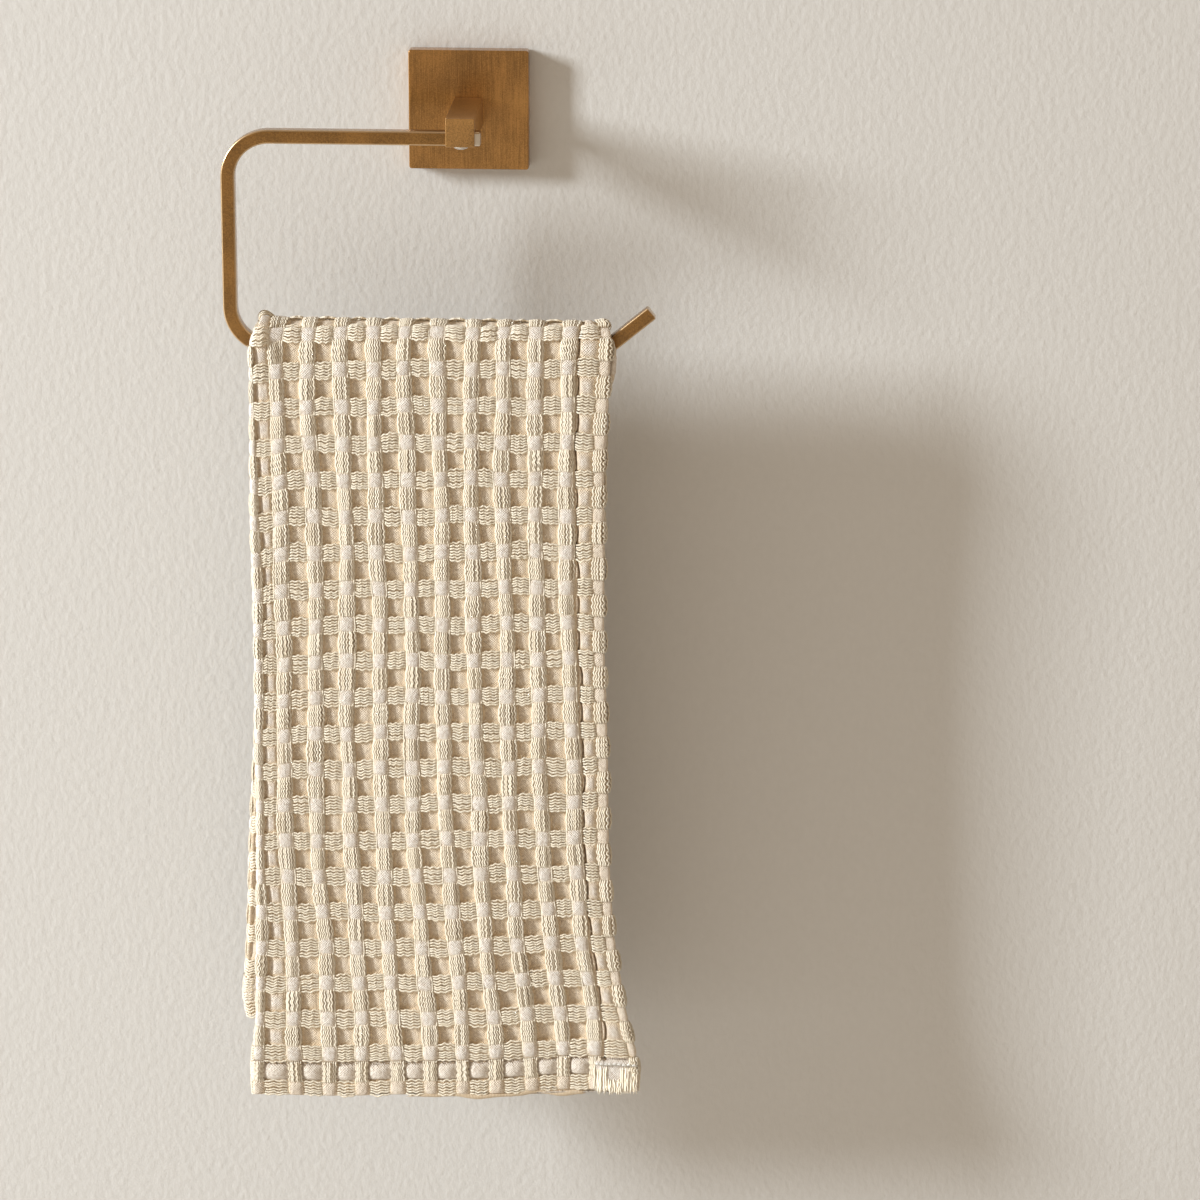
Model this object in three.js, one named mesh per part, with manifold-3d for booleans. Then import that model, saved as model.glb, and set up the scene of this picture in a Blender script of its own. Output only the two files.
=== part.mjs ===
// A waffle-weave hand towel, folded in thirds and hung over the lower bar of an open square towel ring.
// Millimetres, +Z up. The origin is the middle of the wall plate's back face. The wall is the plane y = 0,
// and everything stands out from it towards -Y.

import * as THREE from "three";
import { mergeVertices } from "three/addons/utils/BufferGeometryUtils.js";
import Module from "manifold-3d";

const wasm = await Module();
wasm.setup();

// Driving sizes of the metal pieces.
const SEAT = 0.3; // clearance between pieces that touch
const plate = { side: 55, thick: 7.5, corner: 2, eased: 0.5 };
const post = { side: 13, reach: 53, below: 0.6, eased: 0.4 };
const bar = { side: 6.35, eased: 0.8, bend: 18.8, setBack: 3, pastPost: 2.4 };
const ring = { left: -105.2, height: 96.9, kickStart: 57.3, kickAngle: 39.5, kickLength: 21 };
const screw = { head: 7.2, dome: 1.6, shank: 3.5, intoPost: 4.2 };

// Places worked out from them.
const postFront = -plate.thick - post.reach;
const postBottom = -post.below - post.side / 2;
const barY = postFront + bar.setBack + bar.side / 2;
const armZ = postBottom + bar.side / 2;
const lowerZ = armZ - ring.height;

// Driving sizes of the cloth. The three layers lie from the bar outwards: inner, middle, outer.
const weave = { ribHalf: 3.7, rowHalf: 4.2, pocketDepth: 1.5, pocketWall: 0.9, foldRib: 0.5 };
const layer = { inner: 2, middle: 2, freeInset: 7 };
const crown = { inside: 6, crease: SEAT + bar.side / 2, creaseFrom: -78, creaseTo: 50, creaseRamp: 6 };
const hem = { wide: 7.4, ribToHem: 5.8, stitchDip: 0.7, roll: 1.8, puff: 0.8, shallow: 0.5 };
const uneven = { ribWander: 0.45, rowShift: 0.4, face: 0.1, layers: 0.06 };
const drops = {
  front: { side: -1, rows: 21, pitch: 17.4, first: 11.7, stitch: 364.6, bottomRib: 375.6, end: 381 },
  back: { side: 1, rows: 19, pitch: 17.75, first: 5.9, stitch: 330.4, bottomRib: 344.6, end: 350.4 },
};
const RIBS = 10; // full ribs between the folded edge and the hem
const FULL_POCKET = 0.95; // a pocket shorter than this share of the usual one stays flat

// The hem's rolled edge from its top down: how far inside the edge, and at what share of the layer's thickness.
const rollProfile = [
  { inside: 0.4, share: 0.65 },
  { inside: 0, share: 0.43 },
  { inside: 0.7, share: 0 },
];

// Where the folds' round turns have their points, in degrees about the turn's middle.
const turns = { right: [90, 35, -35, -90], left: [270, 220, 180, 140] };

// The under layers take each row's edges over the bar, every second one further down, and a few near the ends.
const underSteps = { pastCrown: 12, everySecondTo: 320.4, nearEnds: [-326.4, 322.4, 342.4] };

// Edges and first and last ribs across the front drop, at each distance down the cloth from the crown.
const frontWidths = [
  { down: 0, fold: -90, first: -83, last: 49.4, hem: 65.5 },
  { down: 15, fold: -96, first: -83.5, last: 49.1, hem: 69 },
  { down: 41, fold: -96.2, first: -83.4, last: 48.6, hem: 67.8 },
  { down: 82, fold: -96.8, first: -82.3, last: 47.7, hem: 66.1 },
  { down: 144, fold: -96.6, first: -82.4, last: 48.7, hem: 65.6 },
  { down: 202, fold: -97, first: -83.8, last: 49.6, hem: 66.7 },
  { down: 261, fold: -97.6, first: -82.9, last: 51, hem: 68 },
  { down: 305, fold: -98.2, first: -80.8, last: 54.3, hem: 71.5 },
  { down: 335, fold: -98.4, first: -81.3, last: 58.9, hem: 75.8 },
  { down: 350, fold: -99.9, first: -81.6, last: 60.8, hem: 78.7 },
  { down: 362, fold: -102, first: -81.7, last: 61.2, hem: 82 },
  { down: 381, fold: -101.8, first: -82, last: 61.7, hem: 82.1 },
];

// The same for the back drop, whose folded corner swings out to the left.
const backWidths = [
  { down: 0, fold: -90, first: -83, last: 49.4, hem: 65.5 },
  { down: 15, fold: -94.5, first: -83, last: 48.6, hem: 66 },
  { down: 90, fold: -95, first: -82.5, last: 47, hem: 64 },
  { down: 202, fold: -98.5, first: -84.5, last: 46.8, hem: 64 },
  { down: 272, fold: -103.6, first: -88.5, last: 47.5, hem: 65 },
  { down: 319, fold: -105.3, first: -90, last: 48.8, hem: 66.5 },
  { down: 342, fold: -107.4, first: -91, last: 49.6, hem: 67.5 },
  { down: 350.4, fold: -105.6, first: -90.5, last: 49.9, hem: 68 },
];

// How open the drape hangs: half of the room between the two drops, the room between layers, the outer layer.
const looseness = [
  { down: 0, half: 6, between: 0.35, outer: 2.6 },
  { down: 21, half: 6, between: 0.4, outer: 2.6 },
  { down: 60, half: 4.4, between: 0.7, outer: 2.8 },
  { down: 110, half: 2.8, between: 1, outer: 3 },
  { down: 200, half: 2.4, between: 1.2, outer: 3 },
  { down: 330, half: 2.6, between: 1.3, outer: 3 },
  { down: 362, half: 2.6, between: 1.2, outer: 3.5 },
  { down: 385, half: 2.6, between: 1.2, outer: 3.6 },
];

// Where the fold of the two under layers shows past the hemmed edge, and where their ends hang below the hem.
const peek = { inset: 2.4, out: 4.2, from: 10, full: 20, until: 34, gone: 46 };
const hangsLower = { by: 2.4, from: -26, full: -10, until: 50, gone: 62 };

// Shallow swells of a whole drop, two waves across it, and the front hem corner that curls forward.
const swells = { out: 0.55, startShare: 0.1 };
const waves = [
  { high: 1, long: 31, offset: 30 / 31 },
  { high: 0.6, long: 17, offset: 2.2 - 12 / 17 },
];
const curl = { out: 3, fromX: 35, toX: 84, fromS: 285, toS: 381 };

const brass = { color: 0x8f6a34, roughness: 0.38, metalness: 0.9 };
const materials = {
  brushed: new THREE.MeshStandardMaterial(brass),
  satin: new THREE.MeshStandardMaterial({ ...brass, color: 0x86602c, roughness: 0.45 }),
  bright: new THREE.MeshStandardMaterial({ color: 0xb9b2a6, roughness: 0.25, metalness: 0.95 }),
  cloth: new THREE.MeshStandardMaterial({ color: 0xe9dcc0, roughness: 0.95, metalness: 0 }),
};

// Closed geometry to a solid that can be cut, and back.
function solidOf(geometry) {
  const bare = geometry.clone();
  bare.deleteAttribute("normal");
  bare.deleteAttribute("uv");
  const merged = mergeVertices(bare, 1e-3);
  return new wasm.Manifold(
    new wasm.Mesh({
      numProp: 3,
      vertProperties: merged.attributes.position.array,
      triVerts: new Uint32Array(merged.index.array),
    }),
  );
}

function geometryOf(solid) {
  const mesh = solid.getMesh();
  const geometry = new THREE.BufferGeometry();
  geometry.setAttribute("position", new THREE.BufferAttribute(mesh.vertProperties, 3));
  geometry.setIndex(new THREE.BufferAttribute(mesh.triVerts, 1));
  geometry.computeVertexNormals();
  return geometry;
}

function addPiece(group, name, geometry, material) {
  const mesh = new THREE.Mesh(geometry, material);
  mesh.name = name;
  group.add(mesh);
}

// An outline in the XZ plane, given as a shape, made thick along Y from back to front with eased edges.
function easedExtrusion(shape, back, thick, eased, curveSegments = 6) {
  const geometry = new THREE.ExtrudeGeometry(shape, {
    depth: thick - 2 * eased,
    bevelEnabled: true,
    bevelSize: eased,
    bevelThickness: eased,
    bevelOffset: -eased,
    bevelSegments: 1,
    curveSegments,
  });
  geometry.translate(0, 0, eased);
  geometry.rotateX(Math.PI / 2);
  geometry.translate(0, back, 0);
  return geometry;
}

function roundedSquare(side, corner, middleZ) {
  const shape = new THREE.Shape();
  const flat = side / 2 - corner;
  shape.moveTo(flat, middleZ - side / 2);
  shape.absarc(flat, middleZ - flat, corner, -Math.PI / 2, 0);
  shape.absarc(flat, middleZ + flat, corner, 0, Math.PI / 2);
  shape.absarc(-flat, middleZ + flat, corner, Math.PI / 2, Math.PI);
  shape.absarc(-flat, middleZ - flat, corner, Math.PI, 1.5 * Math.PI);
  return shape;
}

function square(side, middleZ) {
  const half = side / 2;
  const corners = [
    [-half, middleZ - half],
    [half, middleZ - half],
    [half, middleZ + half],
    [-half, middleZ + half],
  ];
  return new THREE.Shape(corners.map(([x, z]) => new THREE.Vector2(x, z)));
}

// A round pin or hole along Z at the bar's middle under the post.
function upright(radius, lowZ, highZ) {
  const geometry = new THREE.CylinderGeometry(radius, radius, highZ - lowZ, 20);
  geometry.rotateX(Math.PI / 2);
  geometry.translate(0, barY, (lowZ + highZ) / 2);
  return geometry;
}

function wallPlate() {
  return easedExtrusion(roundedSquare(plate.side, plate.corner, 0), 0, plate.thick, plate.eased);
}

// The post's front end is cut across below by the slot for the bar, and drilled above it for the screw.
function postPiece() {
  const back = -plate.thick - SEAT;
  const shape = square(post.side, -post.below);
  const body = solidOf(easedExtrusion(shape, back, back - postFront, post.eased));
  const slotWidth = bar.side + 2 * SEAT;
  const slot = new THREE.BoxGeometry(post.side * 2, slotWidth, bar.side + SEAT + post.side);
  slot.translate(0, barY, armZ + bar.side / 2 + SEAT - (bar.side + SEAT + post.side) / 2);
  const drilled = upright(screw.shank / 2 + SEAT, armZ, armZ + bar.side / 2 + screw.intoPost + SEAT * 2);
  return geometryOf(body.subtract(solidOf(slot)).subtract(solidOf(drilled)));
}

// The bar's outline is its centre line, set off by half of its side to either hand.
function ringBar() {
  const half = bar.side / 2;
  const outer = bar.bend + half;
  const inner = bar.bend - half;
  const leftBend = ring.left + bar.bend;
  const armEnd = post.side / 2 + bar.pastPost;
  const kick = THREE.MathUtils.degToRad(ring.kickAngle);
  const kickCentreZ = lowerZ + bar.bend;
  const along = new THREE.Vector2(Math.cos(kick), Math.sin(kick)).multiplyScalar(ring.kickLength);
  const outside = new THREE.Vector2(Math.sin(kick), -Math.cos(kick));
  const tip = (radius) =>
    new THREE.Vector2(ring.kickStart, kickCentreZ).addScaledVector(outside, radius).add(along);
  const shape = new THREE.Shape();
  shape.moveTo(armEnd, armZ + half);
  shape.lineTo(leftBend, armZ + half);
  shape.absarc(leftBend, armZ - bar.bend, outer, Math.PI / 2, Math.PI);
  shape.absarc(leftBend, kickCentreZ, outer, Math.PI, 1.5 * Math.PI);
  shape.absarc(ring.kickStart, kickCentreZ, outer, -Math.PI / 2, kick - Math.PI / 2);
  shape.lineTo(tip(outer).x, tip(outer).y);
  shape.lineTo(tip(inner).x, tip(inner).y);
  shape.absarc(ring.kickStart, kickCentreZ, inner, kick - Math.PI / 2, -Math.PI / 2, true);
  shape.absarc(leftBend, kickCentreZ, inner, 1.5 * Math.PI, Math.PI, true);
  shape.absarc(leftBend, armZ - bar.bend, inner, Math.PI, Math.PI / 2, true);
  shape.lineTo(armEnd, armZ - half);
  const body = solidOf(easedExtrusion(shape, barY + half, bar.side, bar.eased, 10));
  const hole = upright(screw.shank / 2 + SEAT, armZ - bar.side, armZ + bar.side);
  return geometryOf(body.subtract(solidOf(hole)));
}

function ringScrew() {
  const headR = screw.head / 2;
  const shankR = screw.shank / 2;
  const seatZ = postBottom - SEAT;
  const topZ = armZ + bar.side / 2 + screw.intoPost;
  const profile = [
    [0, seatZ - screw.dome],
    [headR * 0.55, seatZ - screw.dome * 0.86],
    [headR * 0.9, seatZ - screw.dome * 0.45],
    [headR, seatZ],
    [shankR, seatZ],
    [shankR, topZ],
    [0, topZ],
  ];
  const geometry = new THREE.LatheGeometry(
    profile.map(([r, z]) => new THREE.Vector2(r, z)),
    24,
  );
  geometry.rotateX(Math.PI / 2);
  geometry.translate(0, barY, 0);
  return geometry;
}

// A value between the rows of a table, by the distance down the cloth.
function between(table, down, column) {
  const next = table.findIndex((row) => row.down >= down);
  if (next < 0) return table.at(-1)[column];
  if (next === 0) return table[0][column];
  const [a, b] = [table[next - 1], table[next]];
  return THREE.MathUtils.mapLinear(down, a.down, b.down, a[column], b[column]);
}

// Rises from 0 to 1 between from and full, and falls again between until and gone.
function hump(value, { from, full, until, gone }) {
  const { smoothstep } = THREE.MathUtils;
  return smoothstep(value, from, full) * (1 - smoothstep(value, until, gone));
}

// Everything that the section needs at a place along the cloth. s runs from the back drop's end, through 0 at
// the crown, to the front drop's end. Heights t are measured outwards from the drape's inside.
function sectionAt(s) {
  const down = Math.abs(s);
  const widths = s < 0 ? backWidths : frontWidths;
  const gap = between(looseness, down, "between");
  const t = { innerLow: 0, innerTop: layer.inner };
  t.middleLow = t.innerTop + gap;
  t.middleTop = t.middleLow + layer.middle;
  t.outerLow = t.middleTop + gap;
  t.outerTop = t.outerLow + between(looseness, down, "outer");
  const width = (column) => between(widths, down, column);
  const at = { fold: width("fold"), first: width("first"), last: width("last"), hem: width("hem") };
  const shows = s < 0 ? 0 : peek.out * hump(s, peek);
  at.turn = at.hem - peek.inset + shows;
  at.free = at.fold + layer.freeInset;
  return { t, at };
}

const outerRadius = crown.inside + sectionAt(0).t.outerTop;
const quarter = (outerRadius * Math.PI) / 2;

// Shallow uneven swells of a whole drop towards the room, growing downwards, and the curled hem corner.
function swell(x, s) {
  const { smoothstep } = THREE.MathUtils;
  const share = Math.abs(s) / drops.front.end;
  const wave = waves.reduce((sum, { high, long, offset }) => sum + high * Math.sin(x / long + offset), 0);
  const atCorner = smoothstep(x, curl.fromX, curl.toX) * smoothstep(s, curl.fromS, curl.toS);
  return swells.out * wave * smoothstep(share, swells.startShare, 1) + curl.out * atCorner;
}

// A point of the cloth: across at x, at s along it, t out from the drape's inside, lowered by extra.
function clothPoint(x, s, t, extra = 0) {
  const side = s < 0 ? drops.back.side : drops.front.side;
  const down = Math.abs(s);
  if (down < quarter) {
    const angle = down / outerRadius;
    const r = crown.inside + t;
    return [x, barY + side * r * Math.sin(angle), lowerZ + r * Math.cos(angle)];
  }
  const out = between(looseness, down, "half") + t + (side < 0 ? swell(x, s) : -swell(x, s));
  return [x, barY + side * out, lowerZ - (down - quarter) - extra];
}

// Lines of the outer face across the cloth, at the ribs' edges, from the folded edge to the hem's roll.
function acrossLines({ t, at }, s) {
  const turn = (t.outerTop - t.middleLow) / 2;
  const lines = [at.fold + turn, at.fold + turn + weave.foldRib];
  for (let rib = 0; rib < RIBS; rib++) {
    const middle = THREE.MathUtils.lerp(at.first, at.last, rib / (RIBS - 1));
    const wander = uneven.ribWander * Math.sin(s / 33 + rib * 1.9);
    lines.push(middle + wander - weave.ribHalf, middle + wander + weave.ribHalf);
  }
  lines.push(at.last + hem.ribToHem, at.hem - hem.wide, at.hem - hem.roll);
  return lines;
}

// The outer face is a little uneven from rib to rib, and sinks where the side hem is stitched down.
function faceHeight({ t }, line) {
  const stitched = line === 2 * RIBS + 2;
  return t.outerTop + uneven.face * Math.sin(2.4 * line) - (stitched ? hem.stitchDip : 0);
}

// Places of the rows' edges along the cloth, from the back drop's end to the front drop's.
function rowEdges() {
  const edges = [];
  for (const { side, rows, pitch, first, stitch, bottomRib, end } of [drops.back, drops.front]) {
    for (let row = 0; row < rows; row++) {
      const middle = first + pitch * row;
      edges.push(-side * (middle - weave.rowHalf), -side * (middle + weave.rowHalf));
    }
    edges.push(-side * stitch, -side * bottomRib, -side * end);
  }
  return edges.sort((a, b) => a - b);
}

// The rest of the section, from the hem's roll, in and out through the layers, to the folded edge.
function underPoints({ t, at }, s) {
  const turnLeft = (t.outerTop - t.middleLow) / 2;
  const turnRight = (t.middleTop - t.innerLow) / 2;
  const left = at.fold + turnLeft;
  const right = at.turn - turnRight;
  const gapHalf = (t.outerLow - t.middleTop) / 2;
  const mid = (a, b) => (a + b) / 2;
  const points = [];
  const add = (x, height) => points.push({ x, t: height });
  const run = (from, to, height) => {
    for (const part of [1 / 3, 2 / 3]) {
      add(THREE.MathUtils.lerp(from, to, part), height + uneven.layers * Math.sin(5 * part + height));
    }
  };
  const around = (middleX, low, high, radius, angles) => {
    for (const angle of angles) {
      const turned = THREE.MathUtils.degToRad(angle);
      add(middleX + radius * Math.cos(turned), mid(low, high) + radius * Math.sin(turned));
    }
  };
  for (const { inside, share } of rollProfile) {
    add(at.hem - inside, THREE.MathUtils.lerp(t.outerLow, t.outerTop, share));
  }
  run(at.hem - rollProfile.at(-1).inside, left, t.outerLow);
  add(left, t.outerLow);
  add(left - gapHalf, mid(t.outerLow, t.middleTop));
  add(left, t.middleTop);
  run(left, right, t.middleTop);
  around(right, t.innerLow, t.middleTop, turnRight, turns.right);
  const crease = s === 0 ? crown.crease - crown.inside : 0;
  add(crown.creaseTo, t.innerLow);
  add(crown.creaseTo - crown.creaseRamp, t.innerLow + crease);
  add(crown.creaseFrom + crown.creaseRamp, t.innerLow + crease);
  add(crown.creaseFrom, t.innerLow);
  add(at.free + uneven.rowShift, t.innerLow);
  add(at.free, mid(t.innerTop, t.innerLow));
  add(at.free + uneven.rowShift, t.innerTop);
  run(at.free + uneven.rowShift, right, t.innerTop);
  add(right, t.innerTop);
  add(right + gapHalf, mid(t.innerTop, t.middleLow));
  add(right, t.middleLow);
  run(right, left, t.middleLow);
  around(left, t.middleLow, t.outerTop, turnLeft, turns.left);
  return points;
}

function onRib(down, { first, pitch, rows }) {
  const row = Math.round((down - first) / pitch);
  return row >= 0 && row < rows && Math.abs(down - first - row * pitch) < weave.rowHalf;
}

function towel() {
  const fine = rowEdges();
  const vertices = [];
  const faces = [];
  const vertex = (point) => vertices.push(point) - 1;
  const quad = (a, b, c, d) => faces.push([a, b, c], [a, c, d]);

  // The outer face, as lines of points along the cloth.
  const lines = [];
  fine.forEach((s, row) => {
    const section = sectionAt(s);
    const atEnd = row === 0 || row === fine.length - 1;
    acrossLines(section, s).forEach((x, line) => {
      const shift = atEnd ? 0 : uneven.rowShift * Math.sin(line * 1.3 + row * 0.9);
      lines[line] ??= [];
      lines[line].push(vertex(clothPoint(x, s + shift, faceHeight(section, line))));
    });
  });

  // Between ribs and between rows the face sinks to a pocket's floor, or swells in the end hem.
  const lineCount = lines.length;
  const inHem = lineCount - 3;
  const isGap = (line) => line === inHem || (line % 2 === 1 && line < inHem - 1);
  const placeOf = (row) => {
    const middle = (fine[row] + fine[row + 1]) / 2;
    return { down: Math.abs(middle), drop: middle < 0 ? drops.back : drops.front };
  };
  const isPocketRow = (row) => {
    const { down, drop } = placeOf(row);
    if (down > drop.stitch) return down < drop.bottomRib;
    const usual = drop.pitch - 2 * weave.rowHalf;
    return fine[row + 1] - fine[row] > FULL_POCKET * usual && !onRib(down, drop);
  };
  const floorDepth = (line, row) => {
    const { down, drop } = placeOf(row);
    if (down > drop.stitch) return -hem.puff;
    return line === inHem ? hem.shallow : weave.pocketDepth;
  };
  for (let line = 0; line + 1 < lineCount; line++) {
    for (let row = 0; row + 1 < fine.length; row++) {
      const corners = [
        [line, row],
        [line, row + 1],
        [line + 1, row + 1],
        [line + 1, row],
      ].map(([a, b]) => lines[a][b]);
      if (!isGap(line) || !isPocketRow(row)) {
        quad(...corners);
        continue;
      }
      const s = [fine[row] + weave.pocketWall, fine[row + 1] - weave.pocketWall];
      const floor = [
        [0, 0],
        [0, 1],
        [1, 1],
        [1, 0],
      ].map(([across, along]) => {
        const section = sectionAt(s[along]);
        const x = acrossLines(section, s[along])[line + across];
        const inward = across ? -weave.pocketWall : weave.pocketWall;
        return vertex(clothPoint(x + inward, s[along], section.t.outerTop - floorDepth(line, row)));
      });
      for (let side = 0; side < 4; side++) {
        const after = (side + 1) % 4;
        quad(corners[side], corners[after], floor[after], floor[side]);
      }
      quad(...floor);
    }
  }

  // The under layers, in fewer steps along the cloth than the outer face.
  const crownEnd = quarter + underSteps.pastCrown;
  const atCrown = fine.filter((s) => Math.abs(s) < crownEnd);
  const below = fine.filter((s) => Math.abs(s) >= crownEnd && Math.abs(s) < underSteps.everySecondTo);
  const sparse = below.filter((s, row) => row % 2 === 0);
  const ends = fine.filter((s, row) => row < 2 || row > fine.length - 3);
  const all = [0, ...atCrown, ...sparse, ...underSteps.nearEnds, ...ends];
  const coarse = [...new Set(all)].sort((a, b) => a - b);
  const outerPoints = rollProfile.length + 2;
  const under = [];
  coarse.forEach((s) => {
    underPoints(sectionAt(s), s).forEach(({ x, t }, place) => {
      const isLow = s === drops.front.end && place >= outerPoints;
      const lower = isLow ? hangsLower.by * hump(x, hangsLower) : 0;
      under[place] ??= [];
      under[place].push(vertex(clothPoint(x, s, t, lower)));
    });
  });
  for (let place = 0; place + 1 < under.length; place++) {
    for (let step = 0; step + 1 < coarse.length; step++) {
      const [a, b] = [under[place], under[place + 1]];
      quad(a[step], a[step + 1], b[step + 1], b[step]);
    }
  }

  // The two seams where fine steps meet coarse ones.
  const zip = (a, aSteps, b, bSteps) => {
    let i = 0;
    let j = 0;
    while (i + 1 < a.length || j + 1 < b.length) {
      if (j + 1 >= b.length || (i + 1 < a.length && aSteps[i + 1] <= bSteps[j + 1])) {
        faces.push([a[i], a[i + 1], b[j]]);
        i++;
      } else {
        faces.push([a[i], b[j + 1], b[j]]);
        j++;
      }
    }
  };
  zip(lines.at(-1), fine, under[0], coarse);
  zip(under.at(-1), coarse, lines[0], fine);

  // The two cut ends, as one outline each.
  for (const [s, step, row, facing] of [
    [coarse[0], 0, 0, -1],
    [coarse.at(-1), coarse.length - 1, fine.length - 1, 1],
  ]) {
    const section = sectionAt(s);
    const across = acrossLines(section, s);
    const flat = across.map((x, line) => [x, faceHeight(section, line)]);
    const outline = flat.concat(underPoints(section, s).map(({ x, t }) => [x, t]));
    const ids = lines.map((line) => line[row]).concat(under.map((place) => place[step]));
    const contour = outline.map(([x, t]) => new THREE.Vector2(x, t));
    for (const [a, b, c] of THREE.ShapeUtils.triangulateShape(contour, [])) {
      const turn = new THREE.Vector2().subVectors(contour[b], contour[a]);
      const other = new THREE.Vector2().subVectors(contour[c], contour[a]);
      const same = Math.sign(turn.cross(other)) === facing;
      faces.push(same ? [ids[a], ids[b], ids[c]] : [ids[a], ids[c], ids[b]]);
    }
  }

  const geometry = new THREE.BufferGeometry();
  geometry.setAttribute("position", new THREE.Float32BufferAttribute(vertices.flat(), 3));
  geometry.setIndex(faces.flat());
  geometry.computeVertexNormals();
  return geometry;
}

const towelRing = new THREE.Group();
addPiece(towelRing, "wall_plate", wallPlate(), materials.brushed);
addPiece(towelRing, "post", postPiece(), materials.satin);
addPiece(towelRing, "ring_bar", ringBar(), materials.satin);
addPiece(towelRing, "ring_screw", ringScrew(), materials.bright);
addPiece(towelRing, "towel", towel(), materials.cloth);

export default towelRing;
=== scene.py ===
import math

import bpy
import numpy as np
from mathutils import Matrix, Vector, geometry


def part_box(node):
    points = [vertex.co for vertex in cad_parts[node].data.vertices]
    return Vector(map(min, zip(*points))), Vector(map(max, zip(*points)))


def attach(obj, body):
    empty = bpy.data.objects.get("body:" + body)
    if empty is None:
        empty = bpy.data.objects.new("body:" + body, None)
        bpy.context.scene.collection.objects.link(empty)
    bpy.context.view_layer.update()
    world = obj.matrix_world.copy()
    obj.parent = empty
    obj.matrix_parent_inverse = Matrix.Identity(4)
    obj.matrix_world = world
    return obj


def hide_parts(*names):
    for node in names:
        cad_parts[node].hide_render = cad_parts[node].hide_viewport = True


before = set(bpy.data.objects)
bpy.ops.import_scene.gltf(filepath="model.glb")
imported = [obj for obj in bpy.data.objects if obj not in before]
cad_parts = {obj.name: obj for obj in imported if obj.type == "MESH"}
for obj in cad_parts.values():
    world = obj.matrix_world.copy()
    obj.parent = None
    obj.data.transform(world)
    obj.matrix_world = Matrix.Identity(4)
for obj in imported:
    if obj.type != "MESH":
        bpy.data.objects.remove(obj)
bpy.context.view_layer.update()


# Wall plate
# A square brass plate with eased corners, brushed upright. It is pressed over a bracket that is screwed
# down behind it, and its flat back is what the whole ring hangs from.
MM = 0.001


class Value:
    """What one socket gives out. Sums and products of values become Math nodes."""

    def __init__(self, finish, socket):
        self.finish = finish
        self.socket = socket

    def math(self, operation, *terms):
        return self.finish.node("ShaderNodeMath", {"operation": operation}, dict(enumerate(terms)))

    def __add__(self, other):
        return self.math("ADD", self, other)

    def __sub__(self, other):
        return self.math("SUBTRACT", self, other)

    def __mul__(self, other):
        return self.math("MULTIPLY", self, other)

    def __radd__(self, other):
        return self.math("ADD", other, self)

    def __rsub__(self, other):
        return self.math("SUBTRACT", other, self)

    def __rmul__(self, other):
        return self.math("MULTIPLY", other, self)

    def wave(self):
        """The sine of the value, for threads and grain that come back at an even pitch."""
        return self.math("SINE", self)

    def between(self, low, high):
        """0 below low, 1 above high, and smooth from one to the other."""
        inputs = {"Value": self, "From Min": low, "From Max": high}
        return self.finish.node("ShaderNodeMapRange", {"interpolation_type": "SMOOTHSTEP"}, inputs)


class Finish:
    """A material as it is put together: its shader, and the nodes that feed it."""

    def __init__(self, name, **fixed):
        self.material = bpy.data.materials.new(name)
        self.material.use_nodes = True
        self.tree = self.material.node_tree
        self.shader = self.tree.nodes["Principled BSDF"]
        for socket, value in fixed.items():
            self.shader.inputs[socket.replace("_", " ")].default_value = value

    def node(self, kind, settings=(), inputs=(), output=0):
        made = self.tree.nodes.new(kind)
        for key, value in dict(settings).items():
            setattr(made, key, value)
        for key, value in dict(inputs).items():
            if isinstance(value, Value):
                self.tree.links.new(value.socket, made.inputs[key])
            else:
                made.inputs[key].default_value = value
        return Value(self, made.outputs[output])

    def place(self):
        """Where a point is on the object, in metres."""
        return self.node("ShaderNodeTexCoord", output="Object")

    def scaled(self, vector, scale):
        return self.node("ShaderNodeVectorMath", {"operation": "MULTIPLY"}, {0: vector, 1: scale})

    def noise(self, vector, scale, detail=3.0, roughness=0.5):
        inputs = {"Vector": vector, "Scale": scale, "Detail": detail, "Roughness": roughness}
        return self.node("ShaderNodeTexNoise", {}, inputs)

    def mix(self, share, first, second):
        """A colour from first, where share is 0, to second, where it is 1."""
        inputs = {0: share, 6: first, 7: second}
        return self.node("ShaderNodeMix", {"data_type": "RGBA"}, inputs, output=2)

    def painted(self, name):
        """A number that the mesh carries at each of its points."""
        return self.node("ShaderNodeAttribute", {"attribute_name": name}, output="Fac")

    def bump(self, height, distance, strength=1.0):
        inputs = {"Height": height, "Distance": distance, "Strength": strength}
        return self.node("ShaderNodeBump", {}, inputs)

    def feed(self, **sockets):
        for socket, value in sockets.items():
            self.tree.links.new(value.socket, self.shader.inputs[socket.replace("_", " ")])
        return self


def made_piece(name, points, faces, finish, slot, smooth=True):
    """A mesh from points in millimetres, riding on the one body, with its finish. Its record slot is not
    used.
    """
    mesh = bpy.data.meshes.new(name)
    mesh.from_pydata((np.asarray(points) * MM).tolist(), [], faces)
    mesh.polygons.foreach_set("use_smooth", [smooth] * len(mesh.polygons))
    mesh.materials.append(finish.material)
    piece = bpy.data.objects.new(name, mesh)
    bpy.context.scene.collection.objects.link(piece)
    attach(piece, "root")
    return piece


def ease_edges(piece, width):
    """Rounds the sharp edges, as a polishing wheel leaves them."""
    bevel = piece.modifiers.new("eased edges", "BEVEL")
    bevel.width = width * MM
    bevel.segments = 3
    bevel.limit_method = "ANGLE"
    bevel.angle_limit = math.radians(40)
    bevel.harden_normals = True


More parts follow.
